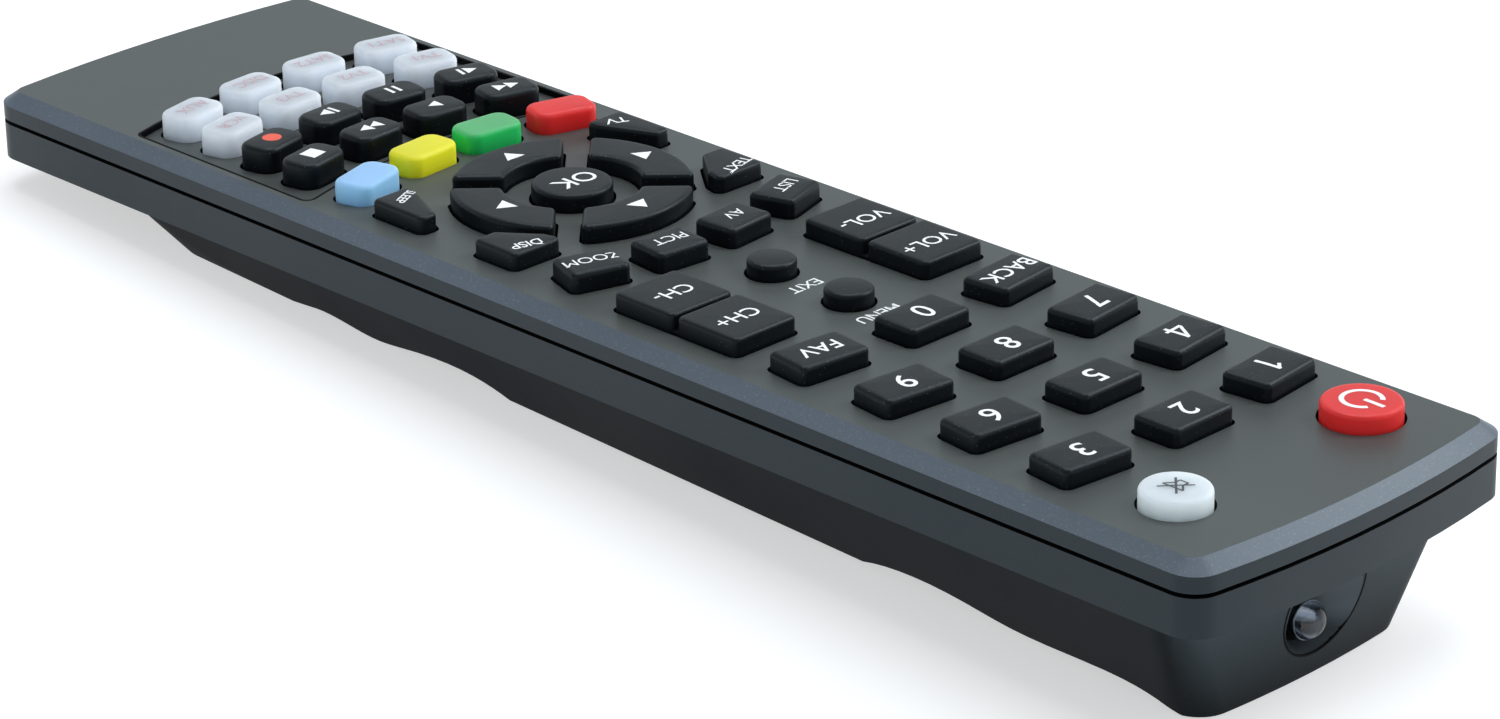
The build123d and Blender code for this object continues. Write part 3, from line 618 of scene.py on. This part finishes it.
def lathe(form, profile, steps, place, material):
    """Turns a profile of radius and length about an axis, from its lower pole to its upper."""
    rings = []
    for radius, along in profile:
        if radius == 0:
            rings.append([form.verts.new(place @ Vector((0, 0, along)))])
            continue
        turns = [2 * math.pi * step / steps for step in range(steps)]
        ring = [Vector((radius * math.cos(turn), radius * math.sin(turn), along)) for turn in turns]
        rings.append([form.verts.new(place @ point) for point in ring])
    for lower, upper in zip(rings, rings[1:]):
        for i in range(steps):
            j = (i + 1) % steps
            corners = [lower[i % len(lower)], lower[j % len(lower)]]
            corners += [upper[j % len(upper)], upper[i % len(upper)]]
            face = form.faces.new(list(dict.fromkeys(corners)))
            face.material_index = material
            face.smooth = True


def span(middle, half):
    """Both ends of a span about its middle."""
    return middle - half, middle + half


def add_block(form, material, *spans):
    """A plain bar over one span of each axis."""
    block = bmesh.ops.create_cube(form, size=1.0)["verts"]
    for vert in block:
        vert.co = [(low + high) / 2 + at * (high - low) for at, (low, high) in zip(vert.co, spans)]
    for face in {face for vert in block for face in vert.link_faces}:
        face.material_index = material


resin = {"Base Color": (0.6, 0.65, 0.72, 1.0), "Transmission Weight": 1.0, "IOR": 1.53}
clear_resin, resin_base = new_material("clear_resin", resin)
resin_flow = noise(object_place(resin_base), 700.0)
set_inputs(resin_base, {"Roughness": ranged(resin_flow, least=0.0, most=0.03)})
leg_metal = bright_metal("leg_metal", (0.4, 0.42, 0.46), roughness=0.15)

diode_form = bmesh.new()
diode_place = Matrix.Translation((0, diode_back, -diode_depth)) @ Matrix.Rotation(-math.pi / 2, 4, "X")
diode_profile = [(0, 0), (diode_flange - 0.15, 0), (diode_flange, 0.15), (diode_flange, 0.85)]
diode_profile += [(diode_flange - 0.15, 1.0), (diode_radius, 1.05), (diode_radius, 3.5)]
for step in range(nose_steps + 1):
    turn = math.pi / 2 * step / nose_steps
    nose = diode_length - diode_radius + diode_radius * math.sin(turn)
    diode_profile.append((diode_radius * math.cos(turn) if step < nose_steps else 0, nose))
lathe(diode_form, diode_profile, 48, diode_place, 0)
lathe(diode_form, reflector_cup, 36, diode_place, 1)
leg_levels = span(-diode_depth, leg_half)
for side, top in leg_tops:
    columns = span(side * leg_column, leg_half)
    add_block(diode_form, 1, columns, (leg_back, diode_back + top), leg_levels)
    upright_along = (leg_back, leg_back + 2 * leg_half)
    add_block(diode_form, 1, columns, upright_along, (leg_levels[1], -board_underside))
for columns, reach in post_tips:
    along = [diode_back + end for end in reach]
    add_block(diode_form, 1, columns, along, span(-diode_depth, post_half))
diode_piece = made_piece("clear_diode", diode_form, (clear_resin, leg_metal), face_mm_to_row, 50.0)
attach(diode_piece, "casing")
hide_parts("infrared_diode")


# Batteries: two round cells head to tail, steel cans in a printed plastic sleeve that is
# shrunk over their rims. Four sprung nickel leaves touch their ends.
bay_to_row = Matrix.Translation(Vector((0.0, -10.227, 0.65)) * MM)
bay_to_row = bay_to_row @ Matrix.Rotation(math.radians(0.798), 4, "X") @ Matrix.Scale(MM, 4)
cell_column = 5.4
cell_axis_height = 6.75
cell_tail_end = 10.2
cell_whole_length = 45.5
cell_can = [(0, 0), (3.6, 0), (3.75, 0.18), (4.2, 0.18), (4.5, 0.1)]
cell_top = [(4.5, 44.35), (2.5, 44.35), (2.0, 44.5), (1.9, 45.35), (1.75, 45.5), (0, 45.5)]
cell_sleeve = [(4.5, 0.1), (4.6, 0.0), (5.0, 0.05), (5.2, 0.25), (5.25, 0.6), (5.25, 33.0)]
cell_band = [(5.25, 33.0), (5.25, 43.8), (5.2, 44.2), (4.95, 44.45), (4.6, 44.5), (4.5, 44.35)]
sleeve_grey = moulded_plastic("sleeve_grey", (0.42, 0.44, 0.47), roughness=0.3, bump=0.05)
sleeve_dark = moulded_plastic("sleeve_dark", (0.03, 0.034, 0.04), roughness=0.3, bump=0.05)
can_steel = bright_metal("can_steel", (0.68, 0.68, 0.67), roughness=0.25)
cell_form = bmesh.new()
for side in (-1, 1):
    start = cell_tail_end if side > 0 else cell_tail_end + cell_whole_length
    cell_place = Matrix.Translation((side * cell_column, start, cell_axis_height))
    cell_place = cell_place @ Matrix.Rotation(-side * math.pi / 2, 4, "X")
    for profile, material in ((cell_can, 2), (cell_sleeve, 0), (cell_band, 1), (cell_top, 2)):
        lathe(cell_form, profile, 40, cell_place, material)
bmesh.ops.remove_doubles(cell_form, verts=cell_form.verts, dist=0.001)
cell_piece = made_piece("cells", cell_form, (sleeve_grey, sleeve_dark, can_steel), bay_to_row, 50.0)
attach(cell_piece, "casing")
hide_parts("batteries")
nickel = bright_metal("nickel", (0.7, 0.67, 0.6), roughness=0.3)
nodes["battery_contacts"].material_slots[0].material = nickel


# Keys: moulded silicone caps with rounded edges. Each stands through its hole on a flange that
# lies under the face plate, with a foot over the circuit board; its symbol is printed on top.
flange_top = 1.9
flange_bottom = 2.4
foot_bottom = 3.1
flange_reach = 0.85
foot_share = 0.4
arc_steps = 7
cap_waist = 0.3
cap_rounding = 6
crown_shares = (0.93, 0.84, 0.72, 0.58, 0.42, 0.25, 0.1)
print_lift = 0.014
print_meshes = (0.9, 0.6)
print_ray_height = 20.0


def arc_points(centre, radius, start, end, steps, outward=1):
    """Points along an arc from one angle to another, with directions out of the outline."""
    points = []
    for step in range(steps + 1):
        turn = start + (end - start) * step / steps
        way = Vector((math.cos(turn), math.sin(turn)))
        points.append((centre + way * radius, way * outward))
    return points


def rounded_loop(corners, radius):
    """Points and outward directions round a convex outline, its corners rounded."""
    loop = []
    for i, corner in enumerate(corners):
        before = (corner - corners[i - 1]).normalized()
        after = (corners[(i + 1) % len(corners)] - corner).normalized()
        normal_in = Vector((before.y, -before.x))
        normal_out = Vector((after.y, -after.x))
        sweep = normal_in.angle(normal_out)
        centre = corner - (normal_in + normal_out).normalized() * (radius / math.cos(sweep / 2))
        start = math.atan2(normal_in.y, normal_in.x)
        loop += arc_points(centre, radius, start, start + sweep, arc_steps)
    return loop


def box_loop(width, length, radius):
    """The loop of a rounded rectangle about its middle."""
    corners = [(1, 1), (-1, 1), (-1, -1), (1, -1)]
    return rounded_loop([Vector((x * width / 2, y * length / 2)) for x, y in corners], radius)


def round_loop(radius, steps=56):
    """The loop of a circle about its middle."""
    return arc_points(Vector((0, 0)), radius, 0, 2 * math.pi, steps)[:-1]


def pad_loop(outer, inner, gap, radius):
    """A quarter of the ring round the OK key, opening towards the infrared end."""
    side = Vector((1, 1)).normalized()
    inward = Vector((-1, 1)).normalized()
    reach = gap / 2 + radius
    outer_centre = side * math.sqrt((outer - radius) ** 2 - reach**2) + inward * reach
    inner_centre = side * math.sqrt((inner + radius) ** 2 - reach**2) + inward * reach
    outer_turn = math.atan2(outer_centre.y, outer_centre.x)
    inner_turn = math.atan2(inner_centre.y, inner_centre.x)
    side_turn = math.atan2(-inward.y, -inward.x)
    middle = Vector((0, 0))
    outer_corner = arc_points(outer_centre, radius, side_turn, outer_turn, arc_steps)
    inner_corner = arc_points(inner_centre, radius, inner_turn - math.pi, side_turn, arc_steps)
    outer_arc = arc_points(middle, outer, outer_turn, math.pi - outer_turn, 24)[1:-1]
    inner_arc = arc_points(middle, inner, math.pi - inner_turn, inner_turn, 18, -1)[1:-1]
    mirror = Matrix.Diagonal((-1, 1))
    mirrored = [(mirror @ point, mirror @ way) for point, way in reversed(inner_corner + outer_corner)]
    return outer_corner + outer_arc + mirrored + inner_arc + inner_corner


def text_shape(words, size, weight=0.0, spread=1.0):
    """Lettering as flat outlines in millimetres, centred: points and faces."""
    curve = bpy.data.curves.new("lettering", "FONT")
    curve.body = words
    curve.size = size
    curve.offset = weight
    curve.space_character = spread
    curve.align_x = curve.align_y = "CENTER"
    curve.resolution_u = 4
    lettering = bpy.data.objects.new("lettering", curve)
    mesh = bpy.data.meshes.new_from_object(lettering)
    points = [Vector(vertex.co[:2]) for vertex in mesh.vertices]
    faces = [list(face.vertices) for face in mesh.polygons]
    bpy.data.objects.remove(lettering)
    bpy.data.curves.remove(curve)
    bpy.data.meshes.remove(mesh)
    return points, faces


def flat_shape(*outlines):
    """Plain filled outlines: points and faces."""
    points, faces = [], []
    for outline in outlines:
        faces.append(list(range(len(points), len(points) + len(outline))))
        points += [Vector(point) for point in outline]
    return points, faces


def add_print(form, shape, centre, turn=0.0, ink=1):
    """Lays a printed shape a hair above what is in the form, or above the face where that is bare."""
    tree = BVHTree.FromBMesh(form)
    points, faces = shape
    flat = bmesh.new()
    flat_points = [flat.verts.new((*point, 0.0)) for point in points]
    for corners in faces:
        try:
            flat.faces.new([flat_points[i] for i in corners])
        except ValueError:
            continue
    bmesh.ops.triangulate(flat, faces=flat.faces)
    for size in print_meshes:
        long_edges = [edge for edge in flat.edges if edge.calc_length() > size]
        if long_edges:
            bmesh.ops.subdivide_edges(flat, edges=long_edges, cuts=1)
            bmesh.ops.triangulate(flat, faces=flat.faces)
    flat.verts.index_update()
    points = [vert.co.to_2d() for vert in flat.verts]
    faces = [[vert.index for vert in face.verts] for face in flat.faces]
    flat.free()
    spin = Matrix.Rotation(turn, 2)
    added = []
    for point in points:
        place = centre + spin @ point
        hit = tree.ray_cast(Vector((place.x, place.y, print_ray_height)), Vector((0, 0, -1)))[0]
        added.append(form.verts.new((place.x, place.y, (hit.z if hit else 0.0) + print_lift)))
    for corners in faces:
        face = form.faces.new([added[i] for i in corners])
        face.material_index = ink
        face.normal_update()
        if face.normal.z < 0:
            face.normal_flip()


def key_form(loop, centre, turn, height, edge, crown, flanged=True):
    """The cap, flange and foot of one key as a closed skin; its top rises to a soft crown."""
    form = bmesh.new()
    spin = Matrix.Rotation(turn, 2)
    hub = sum((point for point, outward in loop), Vector((0, 0))) / len(loop)
    ring_verts = []

    def add_ring(points, level):
        places = [centre + spin @ point for point in points]
        ring_verts.append([form.verts.new((place.x, place.y, level)) for place in places])

    rings = [(0.0, -flange_bottom)]
    if flanged:
        for level in (-foot_bottom, -flange_bottom):
            add_ring([hub + (point - hub) * foot_share for point, outward in loop], level)
        rings = [(-flange_reach, -flange_bottom), (-flange_reach, -flange_top), (0.0, -flange_top)]
    rings.append((0.0, -cap_waist))
    for step in range(cap_rounding + 1):
        turn_up = math.pi / 2 * step / cap_rounding
        rings.append((edge * (1 - math.cos(turn_up)), height - edge * (1 - math.sin(turn_up))))
    for inset, level in rings:
        add_ring([point - outward * inset for point, outward in loop], level)
    for share in crown_shares:
        ring = [hub + (point - outward * edge - hub) * share for point, outward in loop]
        add_ring(ring, height + crown * (1 - share**2))
    count = len(loop)
    for lower, upper in zip(ring_verts, ring_verts[1:]):
        for i in range(count):
            form.faces.new((lower[i], lower[(i + 1) % count], upper[(i + 1) % count], upper[i]))
    form.faces.new(ring_verts[-1])
    form.faces.new(list(reversed(ring_verts[0])))
    for face in form.faces:
        face.smooth = True
    return form


def silicone(name, colour, roughness, milky=0.0, specks=0.0, shine=0.35, flank_painted_light=None):
    """Silicone rubber: soft sheen, fine skin, dust specks; if milky, light scatters inside it;
    a flank colour, where given, paints its sides as painted light glowing through them.
    """
    material, base = new_material(name, {
        "Subsurface Weight": milky, "Subsurface Radius": (1.0, 1.0, 1.0), "Subsurface Scale": 0.005,
        "Specular IOR Level": shine, "Specular Tint": (0.78, 0.92, 1.0, 1.0),
    })
    coords = add_node(base.id_data, "ShaderNodeTexCoord").outputs
    cloud = noise(coords["Object"], 160.0, 3.0)
    drift = mixed(cloud, shade(colour, 0.88), shade(colour, 1.12))
    upward = add_node(base.id_data, "ShaderNodeSeparateXYZ", {"Vector": coords["Normal"]}, "Z")
    # Painted light: faces take the flank colour on the sides and their own colour on top, by how far
    # they turn up.
    top_and_painted_flank = mixed(ranged(upward, 0.1, 1.0), flank_painted_light or colour, drift)
    dust = {"Vector": coords["Object"], "Scale": 1500.0}
    dust = add_node(base.id_data, "ShaderNodeTexVoronoi", dust, "Distance")
    set_inputs(base, {
        "Base Color": mixed(ranged(dust, 0.09, 0.05, 0.0, specks), top_and_painted_flank, (0.45, 0.47, 0.5)),
        "Roughness": ranged(cloud, least=roughness - 0.07, most=roughness + 0.07),
        "Normal": relief(noise(coords["Object"], 2600.0, 4.0), 0.25),
    })
    return material


def ink(name, colour):
    """Screen print: a thin matt film, slightly uneven."""
    material, base = new_material(name, {"Roughness": 0.6})
    patch = noise(object_place(base), 1800.0)
    set_inputs(base, {"Base Color": mixed(patch, shade(colour, 0.86), colour)})
    return material


white_ink = ink("white_ink", (0.8, 0.82, 0.84))
black_silicone = silicone(
    "black_silicone", (0.003, 0.004, 0.0055), roughness=0.42, specks=0.35, shine=0.24
)
mat_silicone = silicone("mat_silicone", (0.12, 0.13, 0.14), roughness=0.6)
nodes["keypad_mat"].material_slots[0].material = mat_silicone


def finish_key(node, form, materials=(black_silicone, white_ink), slot="key_black"):
    """Turns a key's form into the piece that stands for the node."""
    piece = made_piece(node + "_cap", form, materials, face_mm_to_row, 50.0)
    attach(piece, body_of[node])
    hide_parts(node)


def bar(start, end, width):
    """A straight bar between two points, as an outline."""
    start, end = Vector(start), Vector(end)
    side = (end - start).normalized().orthogonal() * width / 2
    return [start + side, start - side, end - side, end + side]


# Digit keys with BACK and FAV: black silicone caps with white print, in four rows of three, the
# outer columns turned a little outwards. The digits 1 and 4 are drawn from bars.
digit_pitch = 16.5
digit_row_pitch = 13.9
digit_first_row = 80.95
digit_middle_shift = 1.05
digit_lean = math.radians(6.2)
digit_loop = box_loop(10.4, 6.9, 0.9)
digit_rows = [("1", "2", "3"), ("4", "5", "6"), ("7", "8", "9"), ("BACK", "0", "FAV")]
word_nodes = {"BACK": "back_key", "FAV": "favourites_key"}
drawn_digits = {
    "1": flat_shape(bar((0.3, -1.85), (0.3, 1.85), 0.55), bar((0.45, 1.75), (-0.8, 0.85), 0.45)),
    "4": flat_shape(
        bar((0.6, -1.85), (0.6, 1.85), 0.52),
        bar((-1.45, -0.95), (1.45, -0.95), 0.48),
        bar((0.6, 1.75), (-1.3, -0.85), 0.46),
    ),
}
for row, names in enumerate(digit_rows):
    for column, words in zip((-1, 0, 1), names):
        node = word_nodes.get(words, "digit_" + words + "_key")
        shift = digit_middle_shift if column == 0 else 0.0
        centre = Vector((column * digit_pitch, digit_first_row - row * digit_row_pitch + shift))
        turn = -column * digit_lean
        form = key_form(digit_loop, centre, turn, height=2.35, edge=0.75, crown=0.08)
        size = 5.0 if len(words) == 1 else 3.5
        shape = drawn_digits[words] if words in drawn_digits else text_shape(words, size, 0.03)
        add_print(form, shape, centre, turn)
        finish_key(node, form)


# Power and mute: round keys beside the infrared end, red with a power sign and milky white
# with a crossed-out loudspeaker.
end_column = 16.3
end_row = 95.1
power_line = 0.62
mute_line = 0.27
mute_cross_line = 0.3
# Both are given a brighter flank colour than their top colour: painted light glowing through their
# sides.
red_silicone = silicone(
    "red_silicone", (0.6, 0.02, 0.018), roughness=0.45, milky=0.25, flank_painted_light=(0.95, 0.028, 0.026)
)
white_silicone = silicone(
    "white_silicone", (0.53, 0.58, 0.62), roughness=0.5, milky=1.0, flank_painted_light=(0.8, 0.89, 0.98)
)
dark_ink = ink("dark_ink", (0.05, 0.055, 0.06))


def arc_band(radius, width, start, end, steps=28):
    """A curved bar of a given width, as one outline for each step."""
    far, near = radius + width / 2, radius - width / 2
    turns = [start + (end - start) * step / steps for step in range(steps + 1)]
    outlines = [((far, a), (far, b), (near, b), (near, a)) for a, b in zip(turns, turns[1:])]
    return [[(r * math.cos(turn), r * math.sin(turn)) for r, turn in outline] for outline in outlines]


power_sign = arc_band(2.4, power_line, math.radians(125), math.radians(415))
power_sign.append(bar((0, 0.35), (0, 3.3), power_line))
speaker = [
    ((-1.4, 0.6), (-0.55, 0.6)), ((-1.4, -0.6), (-0.55, -0.6)), ((-1.4, -0.65), (-1.4, 0.65)),
    ((-0.55, 0.55), (0.55, 1.5)), ((-0.55, -0.55), (0.55, -1.5)), ((0.55, -1.5), (0.55, 1.5)),
]
mute_cross = [((-1.6, -1.45), (1.6, 1.45)), ((-1.6, 1.45), (1.6, -1.45))]
mute_sign = [bar(*ends, mute_line) for ends in speaker]
mute_sign += [bar(*ends, mute_cross_line) for ends in mute_cross]
for node, side, radius, sign, materials, slot in (
    ("power_key", -1, 4.95, power_sign, (red_silicone, white_ink), "key_red"),
    ("mute_key", 1, 4.3, mute_sign, (white_silicone, dark_ink), "key_white"),
):
    centre = Vector((side * end_column, end_row))
    form = key_form(round_loop(radius), centre, 0.0, height=2.25, edge=0.6, crown=0.08)
    add_print(form, flat_shape(*sign), centre)
    finish_key(node, form, materials, slot)


# MENU and EXIT: small round black silicone keys without print in the middle column; their
# names are printed in white on the face itself.
menu_radius = 3.15
menu_print_column = 0.2
face_print = bmesh.new()
for node, along, words, print_along in (
    ("menu_key", 28.0, "MENU", 33.2), ("exit_key", 14.6, "EXIT", 20.5)
):
    form = key_form(round_loop(menu_radius), Vector((0, along)), 0.0, height=2.1, edge=0.6, crown=0.12)
    finish_key(node, form, (black_silicone,))
    print_centre = Vector((menu_print_column, print_along))
    add_print(face_print, text_shape(words, 2.7, 0.01, 0.95), print_centre, ink=0)
face_print_piece = made_piece("face_print", face_print, (white_ink,), face_mm_to_row)
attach(face_print_piece, "casing")


# Volume and channel rockers: one long black silicone cap each, parted by a groove over the
# rocking axis, with a foot under each end and a tab under the face at the axis.
rocker_width = 10.5
rocker_half_length = 10.35
rocker_column = 16.4
rocker_row = 19.6
rocker_gap = 0.7
rocker_web_top = 0.2
rocker_tab_reach = 6.1
rocker_tab_length = 3.0
rocker_blocks = [
    (rocker_width / 2 - 0.1, rocker_gap + 0.6, (-flange_bottom + 0.05, rocker_web_top)),
    (rocker_tab_reach, rocker_tab_length, (-flange_bottom, -flange_top)),
]
rocker_foot = (3.0, 2.5)
for node, side, words in (("volume_rocker", -1, "VOL"), ("channel_rocker", 1, "CH")):
    form = bmesh.new()
    column = side * rocker_column
    half_loop = box_loop(rocker_width, rocker_half_length, 0.9)
    for end, sign in ((1, "+"), (-1, "-")):
        centre = Vector((column, rocker_row + end * (rocker_half_length + rocker_gap) / 2))
        half = key_form(half_loop, centre, 0.0, height=2.35, edge=0.55, crown=0.06, flanged=False)
        add_print(half, text_shape(words + sign, 3.4, 0.02), centre + Vector((0.2, 0.4 - side * 0.2)))
        half_mesh = bpy.data.meshes.new("half")
        half.to_mesh(half_mesh)
        half.free()
        form.from_mesh(half_mesh)
        bpy.data.meshes.remove(half_mesh)
        foot_row = rocker_row + end * rocker_half_length / 2
        foot_spans = [span(column, rocker_foot[0]), span(foot_row, rocker_foot[1])]
        add_block(form, 0, *foot_spans, (-foot_bottom, -flange_bottom + 0.1))
    for reach, length, levels in rocker_blocks:
        add_block(form, 0, span(column, reach), span(rocker_row, length / 2), levels)
    finish_key(node, form)


# Arc of four small keys under the rockers: LIST, AV, PICT and ZOOM, black silicone with white
# print, each turned square to the arc.
arc_bow = 58.0
arc_middle = 2.4
arc_loop = box_loop(8.1, 6.5, 0.9)
for node, column, words in (
    ("list_key", -16.9, "LIST"), ("input_key", -5.6, "AV"),
    ("picture_key", 5.6, "PICT"), ("zoom_key", 16.9, "ZOOM"),
):
    centre = Vector((column, arc_middle - column**2 / (2 * arc_bow)))
    turn = -math.asin(column / arc_bow)
    form = key_form(arc_loop, centre, turn, height=2.6, edge=0.75, crown=0.08)
    add_print(form, text_shape(words, 2.6, 0.0, 0.95), centre + Vector((-0.2, -0.2)), turn)
    finish_key(node, form)


# Direction pad: four curved black silicone keys round OK, each with a white arrowhead printed
# on it that points outwards.
pad_centre = Vector((0, -21.8))
pad_quarter = pad_loop(outer=15.8, inner=9.1, gap=3.5, radius=0.8)
arrowhead = [(-1.5, 11.2), (1.5, 11.2), (0, 13.6)]
pad_print = pad_centre + Vector((-0.4, 0.1))
for node, turn_deg in (("up_key", 0), ("left_key", 90), ("down_key", 180), ("right_key", 270)):
    turn = math.radians(turn_deg)
    form = key_form(pad_quarter, pad_centre, turn, height=2.35, edge=0.6, crown=0.05)
    add_print(form, flat_shape(arrowhead), pad_print, turn)
    finish_key(node, form)
form = key_form(round_loop(5.3), pad_centre, 0.0, height=2.35, edge=0.6, crown=0.08)
add_print(form, text_shape("OK", 4.4, 0.03), pad_print)
finish_key("ok_key", form)


# Corner keys round the pad: TEXT and DISP above, TV and SLEEP below, black silicone with white
# print that slants along their edge. Each is cut off slanting on the side of the pad.
corner_outer = 21.8
corner_leans = {1: -14, -1: 26}
corner_shapes = {1: ((13.0, 10.4, 5.2), (8.2, 7.6, 3.6)), -1: ((14.2, 12.4, 4.5), (6.4, 6.0, 2.6))}
for node, side, end, words, size, spot in (
    ("text_key", -1, 1, "TEXT", 2.35, (18.5, 11.3)), ("display_key", 1, 1, "DISP", 2.35, (18.3, 11.4)),
    ("source_key", -1, -1, "TV", 2.6, (18.7, 11.6)), ("sleep_key", 1, -1, "SLEEP", 1.9, (18.3, 11.6)),
):
    (far, shoulder, near), (wide, waist, narrow) = corner_shapes[end]
    corners = [(corner_outer, far), (corner_outer - wide, far), (corner_outer - waist, shoulder)]
    corners += [(corner_outer - narrow, near), (corner_outer, near)]
    corners = [Vector((side * x, end * y)) for x, y in corners]
    if side * end < 0:
        corners.reverse()
    form = key_form(rounded_loop(corners, 0.9), pad_centre, 0.0, height=2.3, edge=0.6, crown=0.06)
    print_centre = pad_centre + Vector((side * spot[0], end * spot[1]))
    lean = math.radians(side * corner_leans[end])
    add_print(form, text_shape(words, size, 0.02, 0.95), print_centre, lean)
    finish_key(node, form)


# Colour keys: red, green, yellow and blue cushions without print, of silicone that is coloured
# right through; each is given a brighter flank colour for its sides than for its top, as painted
# light glowing through the sides.
tail_outer = 17.0
tail_inner = 5.6
tail_columns = (-tail_outer, -tail_inner, tail_inner, tail_outer)
colour_row = -42.4
colour_bow = 60.0
colour_loop = box_loop(9.0, 5.7, 1.9)
cushions = {"red": red_silicone}
for name, colour, roughness, milky, flank_painted_light in (
    ("green", (0.08, 0.34, 0.13), 0.45, 0.3, (0.02, 0.62, 0.14)),
    ("yellow", (0.6, 0.56, 0.01), 0.45, 0.25, (1.0, 0.94, 0.02)),
    ("blue", (0.24, 0.42, 0.68), 0.42, 0.4, (0.34, 0.64, 1.0)),
):
    cushions[name] = silicone(name + "_silicone", colour, roughness, milky, flank_painted_light=flank_painted_light)
for column, (name, cushion) in zip(tail_columns, cushions.items()):
    centre = Vector((column, colour_row - (tail_outer**2 - column**2) / (2 * colour_bow)))
    form = key_form(colour_loop, centre, column / colour_bow, height=2.75, edge=0.75, crown=0.08)
    finish_key(name + "_key", form, (cushion,), "key_" + name)


# Transport keys, black with their usual white signs and a red record dot, and milky device keys
# with small dull red words. All stand in the recessed panel, in rows that bow like its edge.
tail_first_row = -53.2
tail_pitch = 8.3
tail_bow = 74.0
tail_loop = box_loop(8.3, 5.7, 1.9)
right_head = [(-0.85, -1.1), (0.95, 0.0), (-0.85, 1.1)]
left_head = [(0.85, 1.1), (-0.95, 0.0), (0.85, -1.1)]
upright = [(-0.24, -1.1), (0.24, -1.1), (0.24, 1.1), (-0.24, 1.1)]
record_dot = [(1.3 * way.x, 1.3 * way.y) for point, way in round_loop(1.0, 32)]
stop_square = [(-1.25, -1.25), (1.25, -1.25), (1.25, 1.25), (-1.25, 1.25)]
# The milky keys are given a paler, bluer flank colour than their top colour: painted light glowing
# through their sides.
clear_silicone = silicone(
    "clear_silicone", (0.44, 0.47, 0.51), roughness=0.5, milky=1.0, flank_painted_light=(0.77, 0.82, 0.92)
)
red_ink = ink("red_ink", (0.5, 0.33, 0.38))
record_ink = ink("record_ink", (0.7, 0.09, 0.05))


def moved(outline, x):
    """An outline moved sideways."""
    return [(point[0] + x, point[1]) for point in outline]


tail_rows = [
    {
        "rewind": [moved(left_head, -0.9), moved(left_head, 0.9)], "play": [right_head],
        "forward": [moved(right_head, -0.9), moved(right_head, 0.9)], "stop": [stop_square],
    }, {
        "step_back": [moved(left_head, -0.8), moved(upright, 0.75)],
        "pause": [moved(upright, -0.6), moved(upright, 0.6)],
        "step_forward": [moved(upright, -0.75), moved(right_head, 0.8)], "record": [record_dot],
    },
    {"device_1": "TV1", "device_2": "TV2", "device_3": "TV3", "device_4": "VCR"},
    {"device_5": "SAT1", "device_6": "SAT2", "device_7": "DISC", "device_8": "AUX"},
]
for row, signs in enumerate(tail_rows):
    for column, (name, sign) in zip(tail_columns, signs.items()):
        row_bow = (tail_outer**2 - column**2) / (2 * tail_bow)
        centre = Vector((column, tail_first_row - row * tail_pitch - row_bow))
        turn = column / tail_bow
        words = isinstance(sign, str)
        shape = text_shape(sign, 2.7, -0.01, 0.95) if words else flat_shape(*sign)
        form = key_form(tail_loop, centre, turn, height=2.55, edge=0.75, crown=0.08)
        add_print(form, shape, centre, turn)
        if words:
            finish_key(name + "_key", form, (clear_silicone, red_ink), "key_translucent")
        else:
            sign_ink = record_ink if name == "record" else white_ink
            finish_key(name + "_key", form, (black_silicone, sign_ink))
